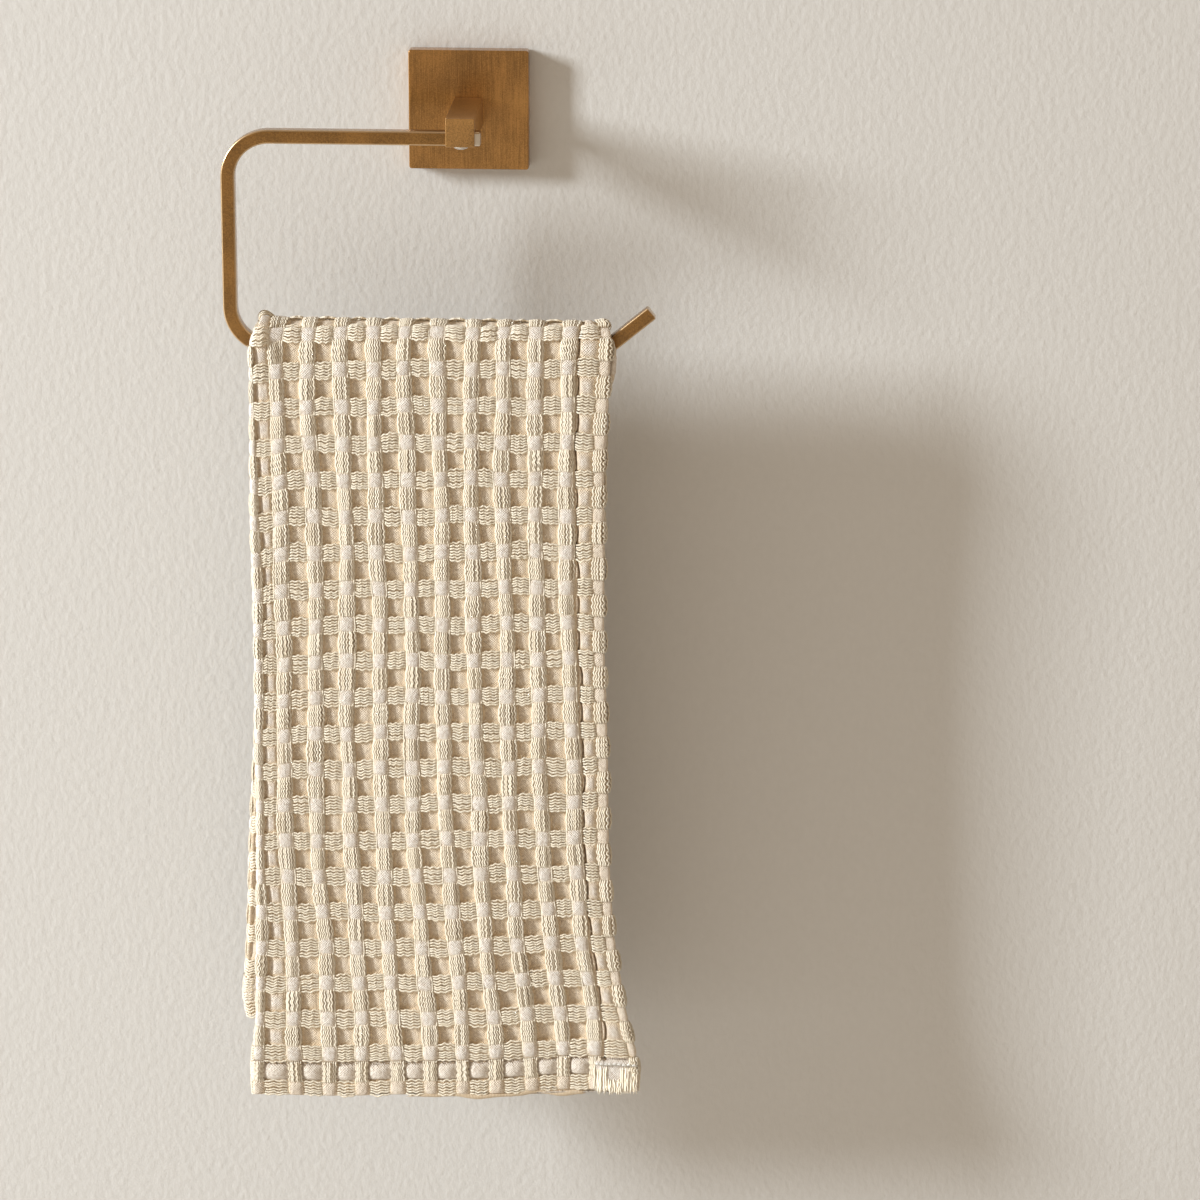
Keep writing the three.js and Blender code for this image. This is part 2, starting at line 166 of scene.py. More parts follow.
def slab(outline, low, high, place):
    """Points and faces of an outline made thick from low to high, where place turns (a, b, depth) into
    (x, y, z)."""
    count = len(outline)
    points = [place(a, b, depth) for depth in (low, high) for a, b in outline]
    sides = [(i, (i + 1) % count, count + (i + 1) % count, count + i) for i in range(count)]
    return points, sides + [tuple(range(count))[::-1], tuple(range(count, 2 * count))]


def brass(name, colour, grain, roughness):
    """Satin brass under clear lacquer, with fine grain in its colour, its roughness and its surface."""
    finish = Finish(name, Metallic=1.0, Coat_Weight=0.7, Coat_Roughness=0.2)
    place = finish.place()
    lines = finish.noise(finish.scaled(place, grain), 1.0, 4.0, 0.62)
    clouds = finish.noise(place, 55.0, 2.0)
    specks = finish.noise(place, 2600.0, 1.0)
    tone = lines * 0.4 + clouds * 0.3 + specks * 0.3
    darker = (*[channel * 0.66 for channel in colour], 1)
    lighter = (*[min(1.0, channel * 1.34) for channel in colour], 1)
    finish.feed(
        Base_Color=finish.mix(tone.between(0.36, 0.64), darker, lighter),
        Roughness=roughness - 0.08 + tone * 0.16,
        Normal=finish.bump(lines + specks * 0.5, 0.00003, 0.5),
    )
    return finish


plate_low, plate_high = (np.array(corner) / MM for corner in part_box("wall_plate"))
plate_side, plate_thick = (plate_high - plate_low)[:2]
plate_corner, plate_eased = 1.3, 0.5
brushed_brass = brass("brushed brass", (0.42, 0.215, 0.063), (2600.0, 900.0, 70.0), 0.38)


def rounded_square(side, corner, steps=8):
    """The outline of a square with round corners, about 0, 0."""
    flat = side / 2 - corner
    outline = []
    for quarter in range(4):
        middle = math.radians(45 + 90 * quarter)
        x, z = (math.copysign(flat, wave) for wave in (math.cos(middle), math.sin(middle)))
        for step in range(steps + 1):
            angle = math.radians(90 * (quarter + step / steps))
            outline.append((x + corner * math.cos(angle), z + corner * math.sin(angle)))
    return outline


plate_outline = rounded_square(plate_side, plate_corner)
plate_mesh = slab(plate_outline, 0, plate_thick, lambda a, b, depth: (a, -depth, b))
wall_plate = made_piece("brass_wall_plate", *plate_mesh, brushed_brass, "brass_brushed", smooth=False)
ease_edges(wall_plate, plate_eased)
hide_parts("wall_plate")


# Post
# A square brass post, screwed from behind to the plate. A slot is milled across the underside of its free
# end, and the ring's upper arm lies in that slot.
post_low, post_high = (np.array(corner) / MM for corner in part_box("post"))
bar_low, bar_high = (np.array(corner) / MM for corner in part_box("ring_bar"))
SEAT = 0.3
BAR = 6.35
bar_y = (bar_low[1] + bar_high[1]) / 2
arm_z = post_low[2] + BAR / 2
slot_half = BAR / 2 + SEAT
slot_top = arm_z + slot_half
post_eased = 0.35
satin_brass = brass("satin brass", (0.43, 0.235, 0.078), (1500.0, 1500.0, 1500.0), 0.36)

post_outline = [
    (post_high[1], post_low[2]),
    (post_high[1], post_high[2]),
    (post_low[1], post_high[2]),
    (post_low[1], post_low[2]),
    (bar_y - slot_half, post_low[2]),
    (bar_y - slot_half, slot_top),
    (bar_y + slot_half, slot_top),
    (bar_y + slot_half, post_low[2]),
]
post_mesh = slab(post_outline, post_low[0], post_high[0], lambda y, z, x: (x, y, z))
post = made_piece("brass_post", *post_mesh, satin_brass, "brass_satin", smooth=False)
ease_edges(post, post_eased)
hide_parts("post")


# Ring bar
# One length of quarter-inch square brass bar, bent cold round a former into an open ring with a short
# upturned end. The cut end that sticks out past the post is bare, and painted bright as a painted
# reflection too, and the upturned end is filed square.
ring = {"bend": 18.8, "kick_start": 57.3, "kick_angle": 39.5, "kick_length": 21.8, "past_post": 2.4}
BEND_STEPS = 22
corner_round = 0.8

lower_z = bar_low[2] + BAR / 2
left_bend = bar_low[0] + BAR / 2 + ring["bend"]


def bent(centre_x, centre_z, start, end):
    """The bar's middle round one bend, with the direction in which the bar runs there."""
    for angle in np.radians(np.linspace(start, end, BEND_STEPS)):
        x = centre_x + ring["bend"] * math.cos(angle)
        z = centre_z + ring["bend"] * math.sin(angle)
        yield x, z, -math.sin(angle), math.cos(angle)


kick = math.radians(ring["kick_angle"])
arm_end = post_high[0] + ring["past_post"]
middle_line = [(arm_end, arm_z, -1.0, 0.0)]
middle_line += bent(left_bend, arm_z - ring["bend"], 90, 180)
middle_line += bent(left_bend, lower_z + ring["bend"], 180, 270)
middle_line += bent(ring["kick_start"], lower_z + ring["bend"], 270, 270 + ring["kick_angle"])
last = middle_line[-1]
tip_x = last[0] + ring["kick_length"] * math.cos(kick)
tip_z = last[1] + ring["kick_length"] * math.sin(kick)
middle_line.append((tip_x, tip_z, *last[2:]))

# The ends are drawn in a little, so that their edges are eased like the rest. Inside the post's slot, two
# stations close together part the bare end, with its painted reflection, from the lacquered bar.
first = middle_line[0]
end_ease = 0.5
end_share = 1 - 2 * end_ease / BAR
in_post = post_high[0] - 1.0
near_first = [(x, *first[1:]) for x in (first[0] - end_ease, in_post + 0.2, in_post)]
near_last = (tip_x - end_ease * math.cos(kick), tip_z - end_ease * math.sin(kick), *last[2:])
bar_stations = [(*first, end_share)]
bar_stations += [(*station, 1.0) for station in near_first + middle_line[1:-1]]
bar_stations += [(*near_last, 1.0), (*middle_line[-1], end_share)]

bar_section = rounded_square(BAR, corner_round, 4)
bar_points = []
for x, z, along_x, along_z, share in bar_stations:
    for across, out in bar_section:
        bar_points.append(
            (x + along_z * across * share, bar_y + out * share, z - along_x * across * share)
        )
around = len(bar_section)


def tube_faces(count, around):
    """Faces that join rings of points one after another, each with the same number, and close both ends."""
    faces = []
    for start in range(0, (count - 1) * around, around):
        for side in range(around):
            a, b = start + side, start + (side + 1) % around
            faces.append((a, b, b + around, a + around))
    end_ring = range((count - 1) * around, count * around)
    return [*faces, tuple(range(around))[::-1], tuple(end_ring)]


def paint(piece, name, numbers):
    """Writes one number for each point of the mesh, for its finish to read."""
    layer = piece.data.attributes.new(name, "FLOAT", "POINT")
    layer.data.foreach_set("value", np.asarray(numbers, np.float32))


bar_brass = brass("bar brass", (0.32, 0.165, 0.045), (1500.0, 2600.0, 1500.0), 0.33)
# The cut end's bright colour is partly bare metal and partly a painted reflection, and its top is left out
# of it as painted shade.
uncoated_and_lit = bar_brass.painted("uncoated cut end with painted light")
coloured = Value(bar_brass, bar_brass.shader.inputs["Base Color"].links[0].from_socket)
# The bar's rounded corners and its filed end are painted lighter, partly as rubbed lacquer and partly as a
# painted highlight.
wear_and_highlight = bar_brass.mix(bar_brass.painted("corner wear and painted highlight") * 0.55, coloured, (0.86, 0.66, 0.42, 1))
bar_brass.feed(Base_Color=bar_brass.mix(uncoated_and_lit, wear_and_highlight, (0.72, 0.64, 0.54, 1)))
bar_faces = tube_faces(len(bar_stations), around)
ring_bar = made_piece("brass_ring_bar", bar_points, bar_faces, bar_brass, "brass_satin")

# The cut end is bare, with a painted reflection below its top and painted shade on its top; the corners and
# filed end are rubbed, with a painted highlight.
bar_x, _, bar_z = np.array(bar_points).T
uncoated_and_lit_points = (bar_x > in_post + 0.1) & (np.abs(bar_z - arm_z + 1.5) < BAR / 2 - corner_round + 1.55)
paint(ring_bar, "uncoated cut end with painted light", uncoated_and_lit_points)
corner_wear_and_highlight = np.tile([0, 0.7, 1, 0.7, 0] * 4, len(bar_stations))
corner_wear_and_highlight[-around:] = 1
paint(ring_bar, "corner wear and painted highlight", corner_wear_and_highlight)
flat_faces = ring_bar.modifiers.new("flat faces", "WEIGHTED_NORMAL")
flat_faces.keep_sharp = True
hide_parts("ring_bar")


# Ring screw
# A small round-headed steel screw with a hexagon socket, driven from below through the arm into the post.
# Its polished head shows as a bright arc under the post.
screw = {"head": 3.6, "dome": 1.6, "shank": 1.75, "socket": 1.15, "socket_depth": 0.9, "into_post": 4.2}
SCREW_SIDES = 36
seat_z = post_low[2] - SEAT
socket_z = seat_z - screw["dome"]
screw_rings = [
    (screw["socket"] * 0.9, socket_z + screw["socket_depth"], True),
    (screw["socket"], socket_z + 0.04, True),
    (screw["socket"] * 1.35, socket_z, False),
    (screw["head"] * 0.62, seat_z - screw["dome"] * 0.86, False),
    (screw["head"] * 0.84, seat_z - screw["dome"] * 0.62, False),
    (screw["head"] * 0.97, seat_z - screw["dome"] * 0.3, False),
    (screw["head"], seat_z - 0.12, False),
    (screw["head"] * 0.97, seat_z, False),
    (screw["shank"], seat_z, False),
    (screw["shank"], arm_z + BAR / 2 + screw["into_post"], False),
]
screw_points = []
for radius, z, is_hexagon in screw_rings:
    for side in range(SCREW_SIDES):
        angle = 2 * math.pi * side / SCREW_SIDES
        within = (angle + math.pi / 6) % (math.pi / 3) - math.pi / 6
        reach = radius / math.cos(within) if is_hexagon else radius
        screw_points.append((reach * math.cos(angle), bar_y + reach * math.sin(angle), z))
screw_faces = tube_faces(len(screw_rings), SCREW_SIDES)

bright_steel = Finish("bright steel", Metallic=1.0, Roughness=0.22)
turned = bright_steel.noise(bright_steel.scaled(bright_steel.place(), (900.0, 900.0, 6000.0)), 1.0)
bright_steel.feed(
    Base_Color=bright_steel.mix(turned, (0.62, 0.56, 0.49, 1), (0.82, 0.78, 0.72, 1)),
    Roughness=0.14 + turned * 0.2,
    Normal=bright_steel.bump(turned, 0.00002),
)
ring_screw = made_piece("ring_screw_bright", screw_points, screw_faces, bright_steel, "bright_steel")
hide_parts("ring_screw")


# Towel
# One length of heavy cotton and linen waffle cloth, hemmed on its edges. It is folded in thirds along its
# length, so that a section shows three layers in a Z, and draped over the lower bar with one fold on
# the left.
RIBS = 11
half_rib, half_row = 3.6, 4.2
weave = {"floor": 1.75, "pillow": 0.6, "under_weft": 1.1, "under_warp": 0.6}
layer = {"inner": 2.0, "middle": 2.0, "free_inset": 7.0}
crown_inside = 6.0
hem = {"wide": 6.2, "rib_to_seam": 4.6, "roll": 1.8, "puff": 1.0, "groove": 1.5, "floor": 0.55}
front = {"rows": 21, "pitch": 17.4, "first": 11.7, "stitch": 364.6, "bottom_rib": 373.4, "end": 381.0}
back = {"rows": 19, "pitch": 17.75, "first": 5.9, "stitch": 330.4, "bottom_rib": 342.6, "end": 350.4}

# Distance down from the crown, then where the folded edge, the first rib, the last rib and the hemmed edge
# lie across, on the front drop and on the back drop.
front_edges = np.array(
    [
        (0, -92.3, -83, 49.4, 65.5),
        (15, -96, -83.5, 49.1, 69),
        (41, -96.2, -83.4, 48.6, 67.8),
        (82, -96.8, -82.3, 47.7, 66.1),
        (144, -96.6, -82.4, 48.7, 65.6),
        (202, -97, -83.8, 49.6, 66.7),
        (261, -97.6, -82.9, 51, 68),
        (305, -98.2, -80.8, 54.3, 71.5),
        (335, -98.4, -81.3, 58.9, 75.8),
        (350, -99.9, -81.6, 60.8, 78.7),
        (362, -102, -81.7, 61.2, 82),
        (381, -101.8, -82, 61.7, 82.1),
    ]
)
back_edges = np.array(
    [
        (0, -92.3, -83, 49.4, 65.5),
        (15, -94.5, -83, 48.6, 66),
        (90, -95, -82.5, 47, 64),
        (202, -98.5, -84.5, 46.8, 64),
        (272, -103.6, -88.5, 47.5, 65),
        (319, -105.3, -90, 48.8, 66.5),
        (342, -107.4, -91, 49.6, 67.5),
        (350.4, -105.6, -90.5, 49.9, 68),
    ]
)

# Distance down from the crown, half of the room between the drops, the room between two layers, and the
# outer layer's thickness.
looseness = np.array(
    [
        (0, 6, 0.35, 2.6),
        (21, 6, 0.4, 2.6),
        (60, 4.4, 0.7, 2.8),
        (110, 2.8, 1, 3),
        (200, 2.4, 1.2, 3),
        (330, 2.6, 1.3, 3),
        (362, 2.6, 1.2, 3.5),
        (385, 2.6, 1.2, 3.6),
    ]
)
loose_down, half_room, layer_room, outer_thick = looseness.T


def smooth(value, low, high):
    """0 below low, 1 above high, and smooth from one to the other."""
    share = np.clip((value - low) / (high - low), 0, 1)
    return share * share * (3 - 2 * share)


def rounded_off(table, down, column):
    """A table's column at a distance down the cloth, with the corners between its rows rounded off."""
    nearby = [np.interp(down + step, table[:, 0], table[:, column]) for step in (-4, 0, 0, 4)]
    return sum(nearby) / len(nearby)


def slipped(x, s):
    """How far the hung cloth has slipped to the right and down. Its rows climb to the right, the middle
    ribs bow out, and the lower left corner has sunk. It all fades out behind the bar."""
    across = np.clip((x + 83) / 140, 0, 1)
    bow = np.sin(math.pi * across)
    middle = smooth(s, 60, 200) * (1 - smooth(s, 260, 330))
    right = 0.1 - 0.35 * bow * (1 - smooth(s, 0, 90)) + (0.9 * bow + 0.5 * across) * middle
    right = right + 1.85 * smooth(s, 250, 400)
    left_sunk = 2.0 * smooth(s, 240, 400)
    right_climb = 2.6 + 2.4 * smooth(s, -40, 260)
    down = left_sunk - (right_climb + left_sunk) * across ** (0.75 + 0.75 * smooth(s, 210, 330))
    return right * smooth(s, -55, 0), down * smooth(s, -55, 0)


def edges_at(s):
    """The folded edge, first rib, last rib and hemmed edge at s along the cloth, negative behind."""
    down = np.abs(s)
    share = smooth(s, -6, 6)
    edges = []
    for column in (1, 2, 3, 4):
        behind, in_front = (rounded_off(table, down, column) for table in (back_edges, front_edges))
        edges.append(behind * (1 - share) + in_front * share)
    return edges


def heights_at(s):
    """The layers' faces at s, measured outwards from the drape's inside."""
    down = np.abs(s)
    gap = np.interp(down, loose_down, layer_room)
    inner_top = layer["inner"] + 0 * gap
    middle_low = inner_top + gap
    middle_top = middle_low + layer["middle"]
    outer_low = middle_top + gap
    outer_top = outer_low + np.interp(down, loose_down, outer_thick)
    return inner_top, middle_low, middle_top, outer_low, outer_top


crown_outside = float(heights_at(0.0)[-1])
outer_radius = crown_inside + crown_outside
quarter = outer_radius * math.pi / 2


def drape(x, s, t):
    """Points in millimetres of the cloth at x across, s along and t out from the drape's inside."""
    x, s, t = np.broadcast_arrays(x, s, t)

    # The cloth has pulled out of true: rows wander, and near the fold they hang lower.
    seam = np.where(s < 0, back["stitch"], front["stitch"])
    loose = 1 - smooth(np.abs(s), seam - 16, seam - 4)
    wander = 0.4 * np.sin(x / 5.7 + s / 19) + 0.35 * np.sin(x / 13 - s / 29 + 1)
    pulled = 2.6 * (1 - smooth(x, -94, -78)) * smooth(s, -60, -10) * (1 - smooth(s, 60, 330))
    bunched = 2.0 * (1 - smooth(x, -91, -82)) * (1 - smooth(np.abs(s), 10, 42)) * t / crown_outside
    right, lower = slipped(x, s)
    between_edges = smooth(x, -98, -84) * (1 - smooth(x, 58, 74))
    x = x + 0.3 * np.sin(x / 23 + s / 41) + 0.22 * np.sin(x / 9.7 - s / 17 + 2) + right * between_edges
    s = s + wander * loose + pulled + lower
    t = t + bunched

    # The drops hang in shallow waves, and the front's lower right corner curls forward.
    down = np.abs(s)
    side = np.where(s < 0, 1.0, -1.0)
    share = smooth(down / front["end"], 0.1, 1)
    wave = np.sin(x / 31 + 30 / 31) + 0.6 * np.sin(x / 17 + 2.2 - 12 / 17)
    curl = 3.0 * smooth(x, 35, 84) * smooth(s, 285, 381)
    swell = 0.55 * wave * share + curl
    out = np.interp(down, loose_down, half_room) + t - side * swell

    # Near the crown it goes round the bar, and from a quarter turn on it hangs straight down.
    angle = np.minimum(down / outer_radius, math.pi / 2)
    r = crown_inside + t
    over = down < quarter
    y = bar_y + side * np.where(over, r * np.sin(angle), out)
    z = lower_z + np.where(over, r * np.cos(angle), quarter - down)
    z = z - 0.35 * np.sin(x / 11 + 0.6) * smooth(s, 350, 381)
    return np.stack([x, y, z], axis=-1)


def on_face(u, s, height):
    """Places off the outer face at u across the cloth laid flat, which goes round the fold and under, and
    round the hem."""
    fold, _, _, hem_edge = edges_at(s)
    _, middle_low, _, outer_low, outer_top = heights_at(s)
    turn = (outer_top - middle_low) / 2
    past = np.maximum(fold + turn * (1 - math.pi) - u, 0)
    round_fold = np.clip((fold + turn - u) / turn, 0, math.pi)
    half = (outer_top - outer_low) / 2
    round_hem = np.maximum(u - hem_edge + hem["roll"], 0) / ((half + hem["roll"]) / 2)
    x = np.where(round_fold > 0, fold + turn - (turn + height) * np.sin(round_fold) + past, u)
    x = np.where(round_hem > 0, hem_edge - hem["roll"] + (hem["roll"] + height) * np.sin(round_hem), x)
    fold_t = middle_low + turn + (turn + height) * np.cos(round_fold)
    t = np.where(round_fold > 0, fold_t, outer_top + height)
    t = np.where(round_hem > 0, outer_low + half + (half + height) * np.cos(round_hem), t)
    return x, t


# Rows along the cloth, from the back drop's end to the front drop's: rows of raised squares with pockets
# between them, and at each end a stitched line, a row of puffs and the turned edge.
rows = []
for drop, side in ((back, -1), (front, 1)):
    middles = [drop["first"] + drop["pitch"] * row for row in range(drop["rows"])]
    rows += [(side * middle - half_row, side * middle + half_row, "squares") for middle in middles]
    ends = [middles[-1] + half_row, drop["stitch"], drop["bottom_rib"], drop["end"]]
    for start, stop, kind in zip(ends, ends[1:], ("seam", "puffs", "squares")):
        rows.append((*sorted((side * start, side * stop)), kind))
rows.sort()
gaps = [(this[1], after[0], "pockets") for this, after in zip(rows, rows[1:])]
rows = sorted(rows + [(low, high, kind) for low, high, kind in gaps if high - low > 1])
row_low, row_high = (np.array([row[end] for row in rows]) for end in (0, 1))
row_kind = np.array([row[2] for row in rows])


def row_at(s):
    """The row at s, and how far along it s is, from -1 to 1."""
    row = np.clip(np.searchsorted(row_low, s, side="right") - 1, 0, len(rows) - 1)
    return row, (2 * s - row_low[row] - row_high[row]) / (row_high[row] - row_low[row])


def key_lines(s):
    """Lines across the cloth at s: two for each rib, the seam, and the rib along the hemmed edge."""
    _, first_rib, last_rib, hem_edge = edges_at(s)
    row, along = row_at(s)
    round_end = np.sqrt(np.clip(1 - along**2, 0, 1))
    shares = {"pockets": 1.0, "squares": 0.5, "puffs": -0.6, "seam": 0.0}
    spread = round_end * np.array([shares[kind] for kind in row_kind])[row]
    pitch = (last_rib - first_rib) / (RIBS - 2)
    on_fold = 0.16 * smooth(s, 60, 120) * (1 - smooth(s, 200, 290)) - 0.98
    lines = []
    for rib in range(RIBS):
        middle = first_rib + pitch * (rib - 1 if rib else on_fold)
        middle = middle + 0.4 * np.sin(s / 33 + rib * 1.9) + 0.25 * np.sin(s / 9 + rib * 2.7)
        half = half_rib - 0.25 + 0.25 * np.sin(rib * 2.1 + s / 21)
        half = half if rib else half - 0.5
        bulge = spread * (0.65 + 0.25 * np.sin(rib * 3.3 + s / 15))
        lines += [middle - half - bulge, middle + half + bulge]
    seam = last_rib + hem["rib_to_seam"] + 0.3 * np.sin(s / 7 + 1) + 0.2 * np.sin(s / 3.9) + 0.5 * spread
    wide = hem["wide"] - 1.6 * smooth(s, 290, 360)
    edge_rib = hem_edge - wide - 0.5 * spread + 0.3 * np.sin(s / 11)
    lines = [lines[0] - 7.6, *lines, seam, edge_rib, hem_edge + 2.2, hem_edge + 9]
    return np.array(lines)


# A column lies to the right of each line. It is a rib, 1, or the gap beside one, -1.
ROUND_FOLD, FOLD_GAP, SEAM, EDGE_RIB = 0, 2, 2 * RIBS + 1, 2 * RIBS + 2
column_kind = np.array([-1, 1] * RIBS + [-1, -1, 1, -1])
dice = np.random.default_rng(17)
cell_noise = dice.uniform(-1, 1, (3, len(rows), len(column_kind)))


def relief(u, s):
    """How far the cloth stands off the outer face at u across and s along, how pale it is painted there,
    darker in its hollows as painted shade, and how dark it is painted at a seam and round the puffs, partly
    as painted shade."""
    lines = key_lines(s)
    column = np.clip((lines[:, None] <= u[None]).sum(axis=0) - 1, 0, len(column_kind) - 1)
    left, right = (np.take_along_axis(lines, column + end, axis=0) for end in (0, 1))
    share = np.clip((u - left) / (right - left), 0, 1)
    to_edge = np.minimum(share, 1 - share) * (right - left)
    to_edge = np.where(column == SEAM - 1, share * (right - left), to_edge)
    to_edge = np.where(column == SEAM, (1 - share) * (right - left), to_edge)
    rib = smooth(column_kind[column] * to_edge, -0.9, 1.1)
    row, along = row_at(s)
    down = np.abs(s)
    is_squares = row_kind[row] == "squares"
    to_row_edge = np.minimum(s - row_low[row], row_high[row] - s)
    raised = smooth(np.where(is_squares, to_row_edge, -to_row_edge), -0.7, 0.9)
    dome = 4 * share * (1 - share) * (1 - along**2)
    bias, size, tilt = cell_noise[:, row[None], column]

    deeper = 0.6 * smooth(s, 150, 330) * smooth(u, -60, -10)
    floor = np.where(column < SEAM - 1, weave["floor"] + deeper, hem["floor"]) + 0.25 * bias
    pocket = -floor + (weave["pillow"] + 0.3 * size) * dome + (0.6 + 0.25 * tilt) * (share - 0.3)
    fold_gap = -0.45 - 1.7 * (1 - smooth(share, 0.05, 0.4)) + 0.25 * dome
    pocket = np.where(column == FOLD_GAP, fold_gap, pocket)
    pocket = np.where(column == ROUND_FOLD, -0.3 - 1.7 * np.exp(-(((share - 0.5) / 0.17) ** 2)), pocket)
    pocket = np.where(column == SEAM, -0.5 + 1.15 * np.clip(dome, 0, 1) ** 0.4, pocket)
    square = -0.3 + (0.85 + 0.2 * size) * dome + 0.15 * tilt * (share - 0.5)
    height = pocket * (1 - rib) * (1 - raised) - weave["under_weft"] * (1 - rib) * raised
    height = height - weave["under_warp"] * rib * (1 - raised) + square * rib * raised
    height = height - 0.6 * (column == EDGE_RIB) * raised
    # The paleness paints shade: squares darker towards their edges, the cloth under the floats and the
    # pockets darker still; the pockets' domes paler as painted light.
    paleness_and_shade = rib * raised * (0.35 + 0.65 * smooth(dome, 0, 0.5)) + (1 - rib) * raised * 0.12
    # The pillows beside the fold and the seam are painted paler still, as painted light.
    pillow_painted_light = np.where((column == FOLD_GAP) | (column == SEAM), 0.95, 0.5)
    paleness_and_shade = paleness_and_shade + (1 - raised) * (pillow_painted_light * np.clip(dome, 0, 1) ** 0.8 * (1 - rib))
    # The edge rib is painted darker as painted shade where it rolls away, and the cloth below the last rib
    # is painted darker too.
    paleness_and_shade = paleness_and_shade * np.where((column == EDGE_RIB) | (down > front["bottom_rib"] - 1), 0.6, 1)

    # The turned and stitched edges: puffs along the end, grooves at both seams, and the thick corner.
    puffed = row_kind[row] == "puffs"
    puff = -1.5 + (hem["puff"] + 1.5 + 0.3 * size) * np.clip(dome, 0, 1) ** 0.6 * (1 - rib)
    puff = np.where(column == ROUND_FOLD, -0.4, puff)
    height = np.where(puffed, puff * (1 - rib) - weave["under_warp"] * rib, height)
    paleness_and_shade = np.where(puffed, 0.85 - 0.5 * rib, paleness_and_shade)
    stitch = np.where(s < 0, back["stitch"], front["stitch"])
    end_groove = np.exp(-(((down - stitch + 0.2) / 0.7) ** 2)) * (0.2 + 0.8 * rib)
    side_groove = np.exp(-(((u - lines[SEAM]) / 0.5) ** 2))
    side_groove = side_groove * (0.8 + 0.2 * np.sin(s * 1.3 + np.sin(s / 5)))
    round_puff = puffed * (1 - rib) * (1 - smooth(dome, 0.03, 0.4)) * (column > ROUND_FOLD)
    block = smooth(u, lines[SEAM - 1] - 4.4, lines[SEAM - 1] - 2.8)
    block = block * smooth(s, front["stitch"] + 0.4, front["stitch"] + 1.8)
    # The seams' grooves are painted dark, partly as the seam line's colour and partly as painted shade; the
    # hollows round the puffs are painted darker as painted shade.
    seam = np.maximum(end_groove * 0.3, side_groove) * (1 - block)
    height = height - hem["groove"] * seam
    seam = np.maximum(seam, 0.45 * round_puff * (1 - block))
    lumps = 0.1 * np.sin(u / 6.1 + s / 23) + 0.08 * np.sin(u / 3.7 - s / 11 + 1)
    height = (height + lumps) * (1 - block) + block * (0.6 + 2 * lumps)
    return height, paleness_and_shade * (1 - block) + block, seam


def spaced(start, end, shares):
    """Places at these shares of the way from start to end."""
    return [start + (end - start) * share for share in shares]


# Stations along the cloth, closer together where the relief turns. Both ends are rounded off past the last.
row_steps = dict.fromkeys(("squares", "pockets"), (0, 0.13, 0.36, 0.64, 0.87))
row_steps.update(puffs=(0, 0.06, 0.18, 0.34, 0.5, 0.66, 0.82, 0.94), seam=(0, 0.5))
HEM_ROUND = 1.2
END_ANGLES = (25, 50, 72)
first_station, last_station = HEM_ROUND - back["end"], front["end"] - HEM_ROUND
stations = np.concatenate([spaced(low, high, row_steps[kind]) for low, high, kind in rows])
stations = stations[(stations > first_station) & (stations < last_station)]
stations = np.array([first_station, *stations, last_station])

# The outer face's columns, from the cloth that is turned under at the fold to the rolled hem.
lines = key_lines(stations)
fold, _, _, hem_edge = edges_at(stations)
inner_top, middle_low, middle_top, outer_low, outer_top = heights_at(stations)
turn_left = (outer_top - middle_low) / 2
face_start = fold + turn_left
roll_start = hem_edge - hem["roll"]
ROLL_RADIUS = 1.65
rib_shares = (0, 0.1, 0.28, 0.5, 0.72, 0.9)
pocket_shares = (0, 0.12, 0.3, 0.55, 0.84)
face_u = [face_start - turn_left * math.pi - past for past in (9.5, 6.8, 4.4, 2.4, 0.9)]
face_u += [face_start - turn_left * math.radians(degrees) for degrees in range(180, 0, -15)]
face_u += spaced(face_start, lines[3], np.linspace(0, 1, 12)[:-1])
for line in range(3, SEAM - 1):
    shares = rib_shares if column_kind[line] > 0 else pocket_shares
    face_u += spaced(lines[line], lines[line + 1], shares)
face_u += spaced(lines[SEAM - 1], lines[SEAM], (0, 0.25, 0.5, 0.7, 0.86))
face_u += spaced(lines[SEAM], lines[EDGE_RIB], (0, 0.07, 0.15, 0.32, 0.55, 0.82))
face_u += spaced(lines[EDGE_RIB], roll_start, (0, 0.13, 0.32, 0.55, 0.8))
face_u += [roll_start + ROLL_RADIUS * math.radians(degrees) for degrees in range(0, 161, 20)]
face_u = np.array(face_u)
face_height, face_paleness_and_shade, face_seam_and_shade = relief(face_u, stations)
inside = 1 - smooth(face_start - turn_left * math.pi - face_u, 6, 9)
face_x, face_t = on_face(face_u, stations, face_height * inside)
half_cloth = (outer_top - outer_low) / 2
face_core_x, face_core_t = on_face(face_u, stations, -half_cloth + 0 * face_u)

# The rest of the section, from the hemmed edge in and out through the layers to the fold. Each column has
# its place, and the middle of the cloth there, to which the cut ends are drawn in.
under = []


def add_under(x, height, core_x, core_height, pale=0.4):
    """One column of the under layers, across the cloth and off the drape's inside."""
    under.append([part + 0 * stations for part in (x, height, core_x, core_height, pale)])


def add_run(start, end, height, core_height, phase):
    """A layer's hidden face, rippled a little, from start to end."""
    for share in np.linspace(0, 1, 4):
        x = start + (end - start) * share
        ripple = 0.12 * np.sin(x / 2.35 + phase) * np.sin(math.pi * share)
        add_under(x, height + ripple, x, core_height)


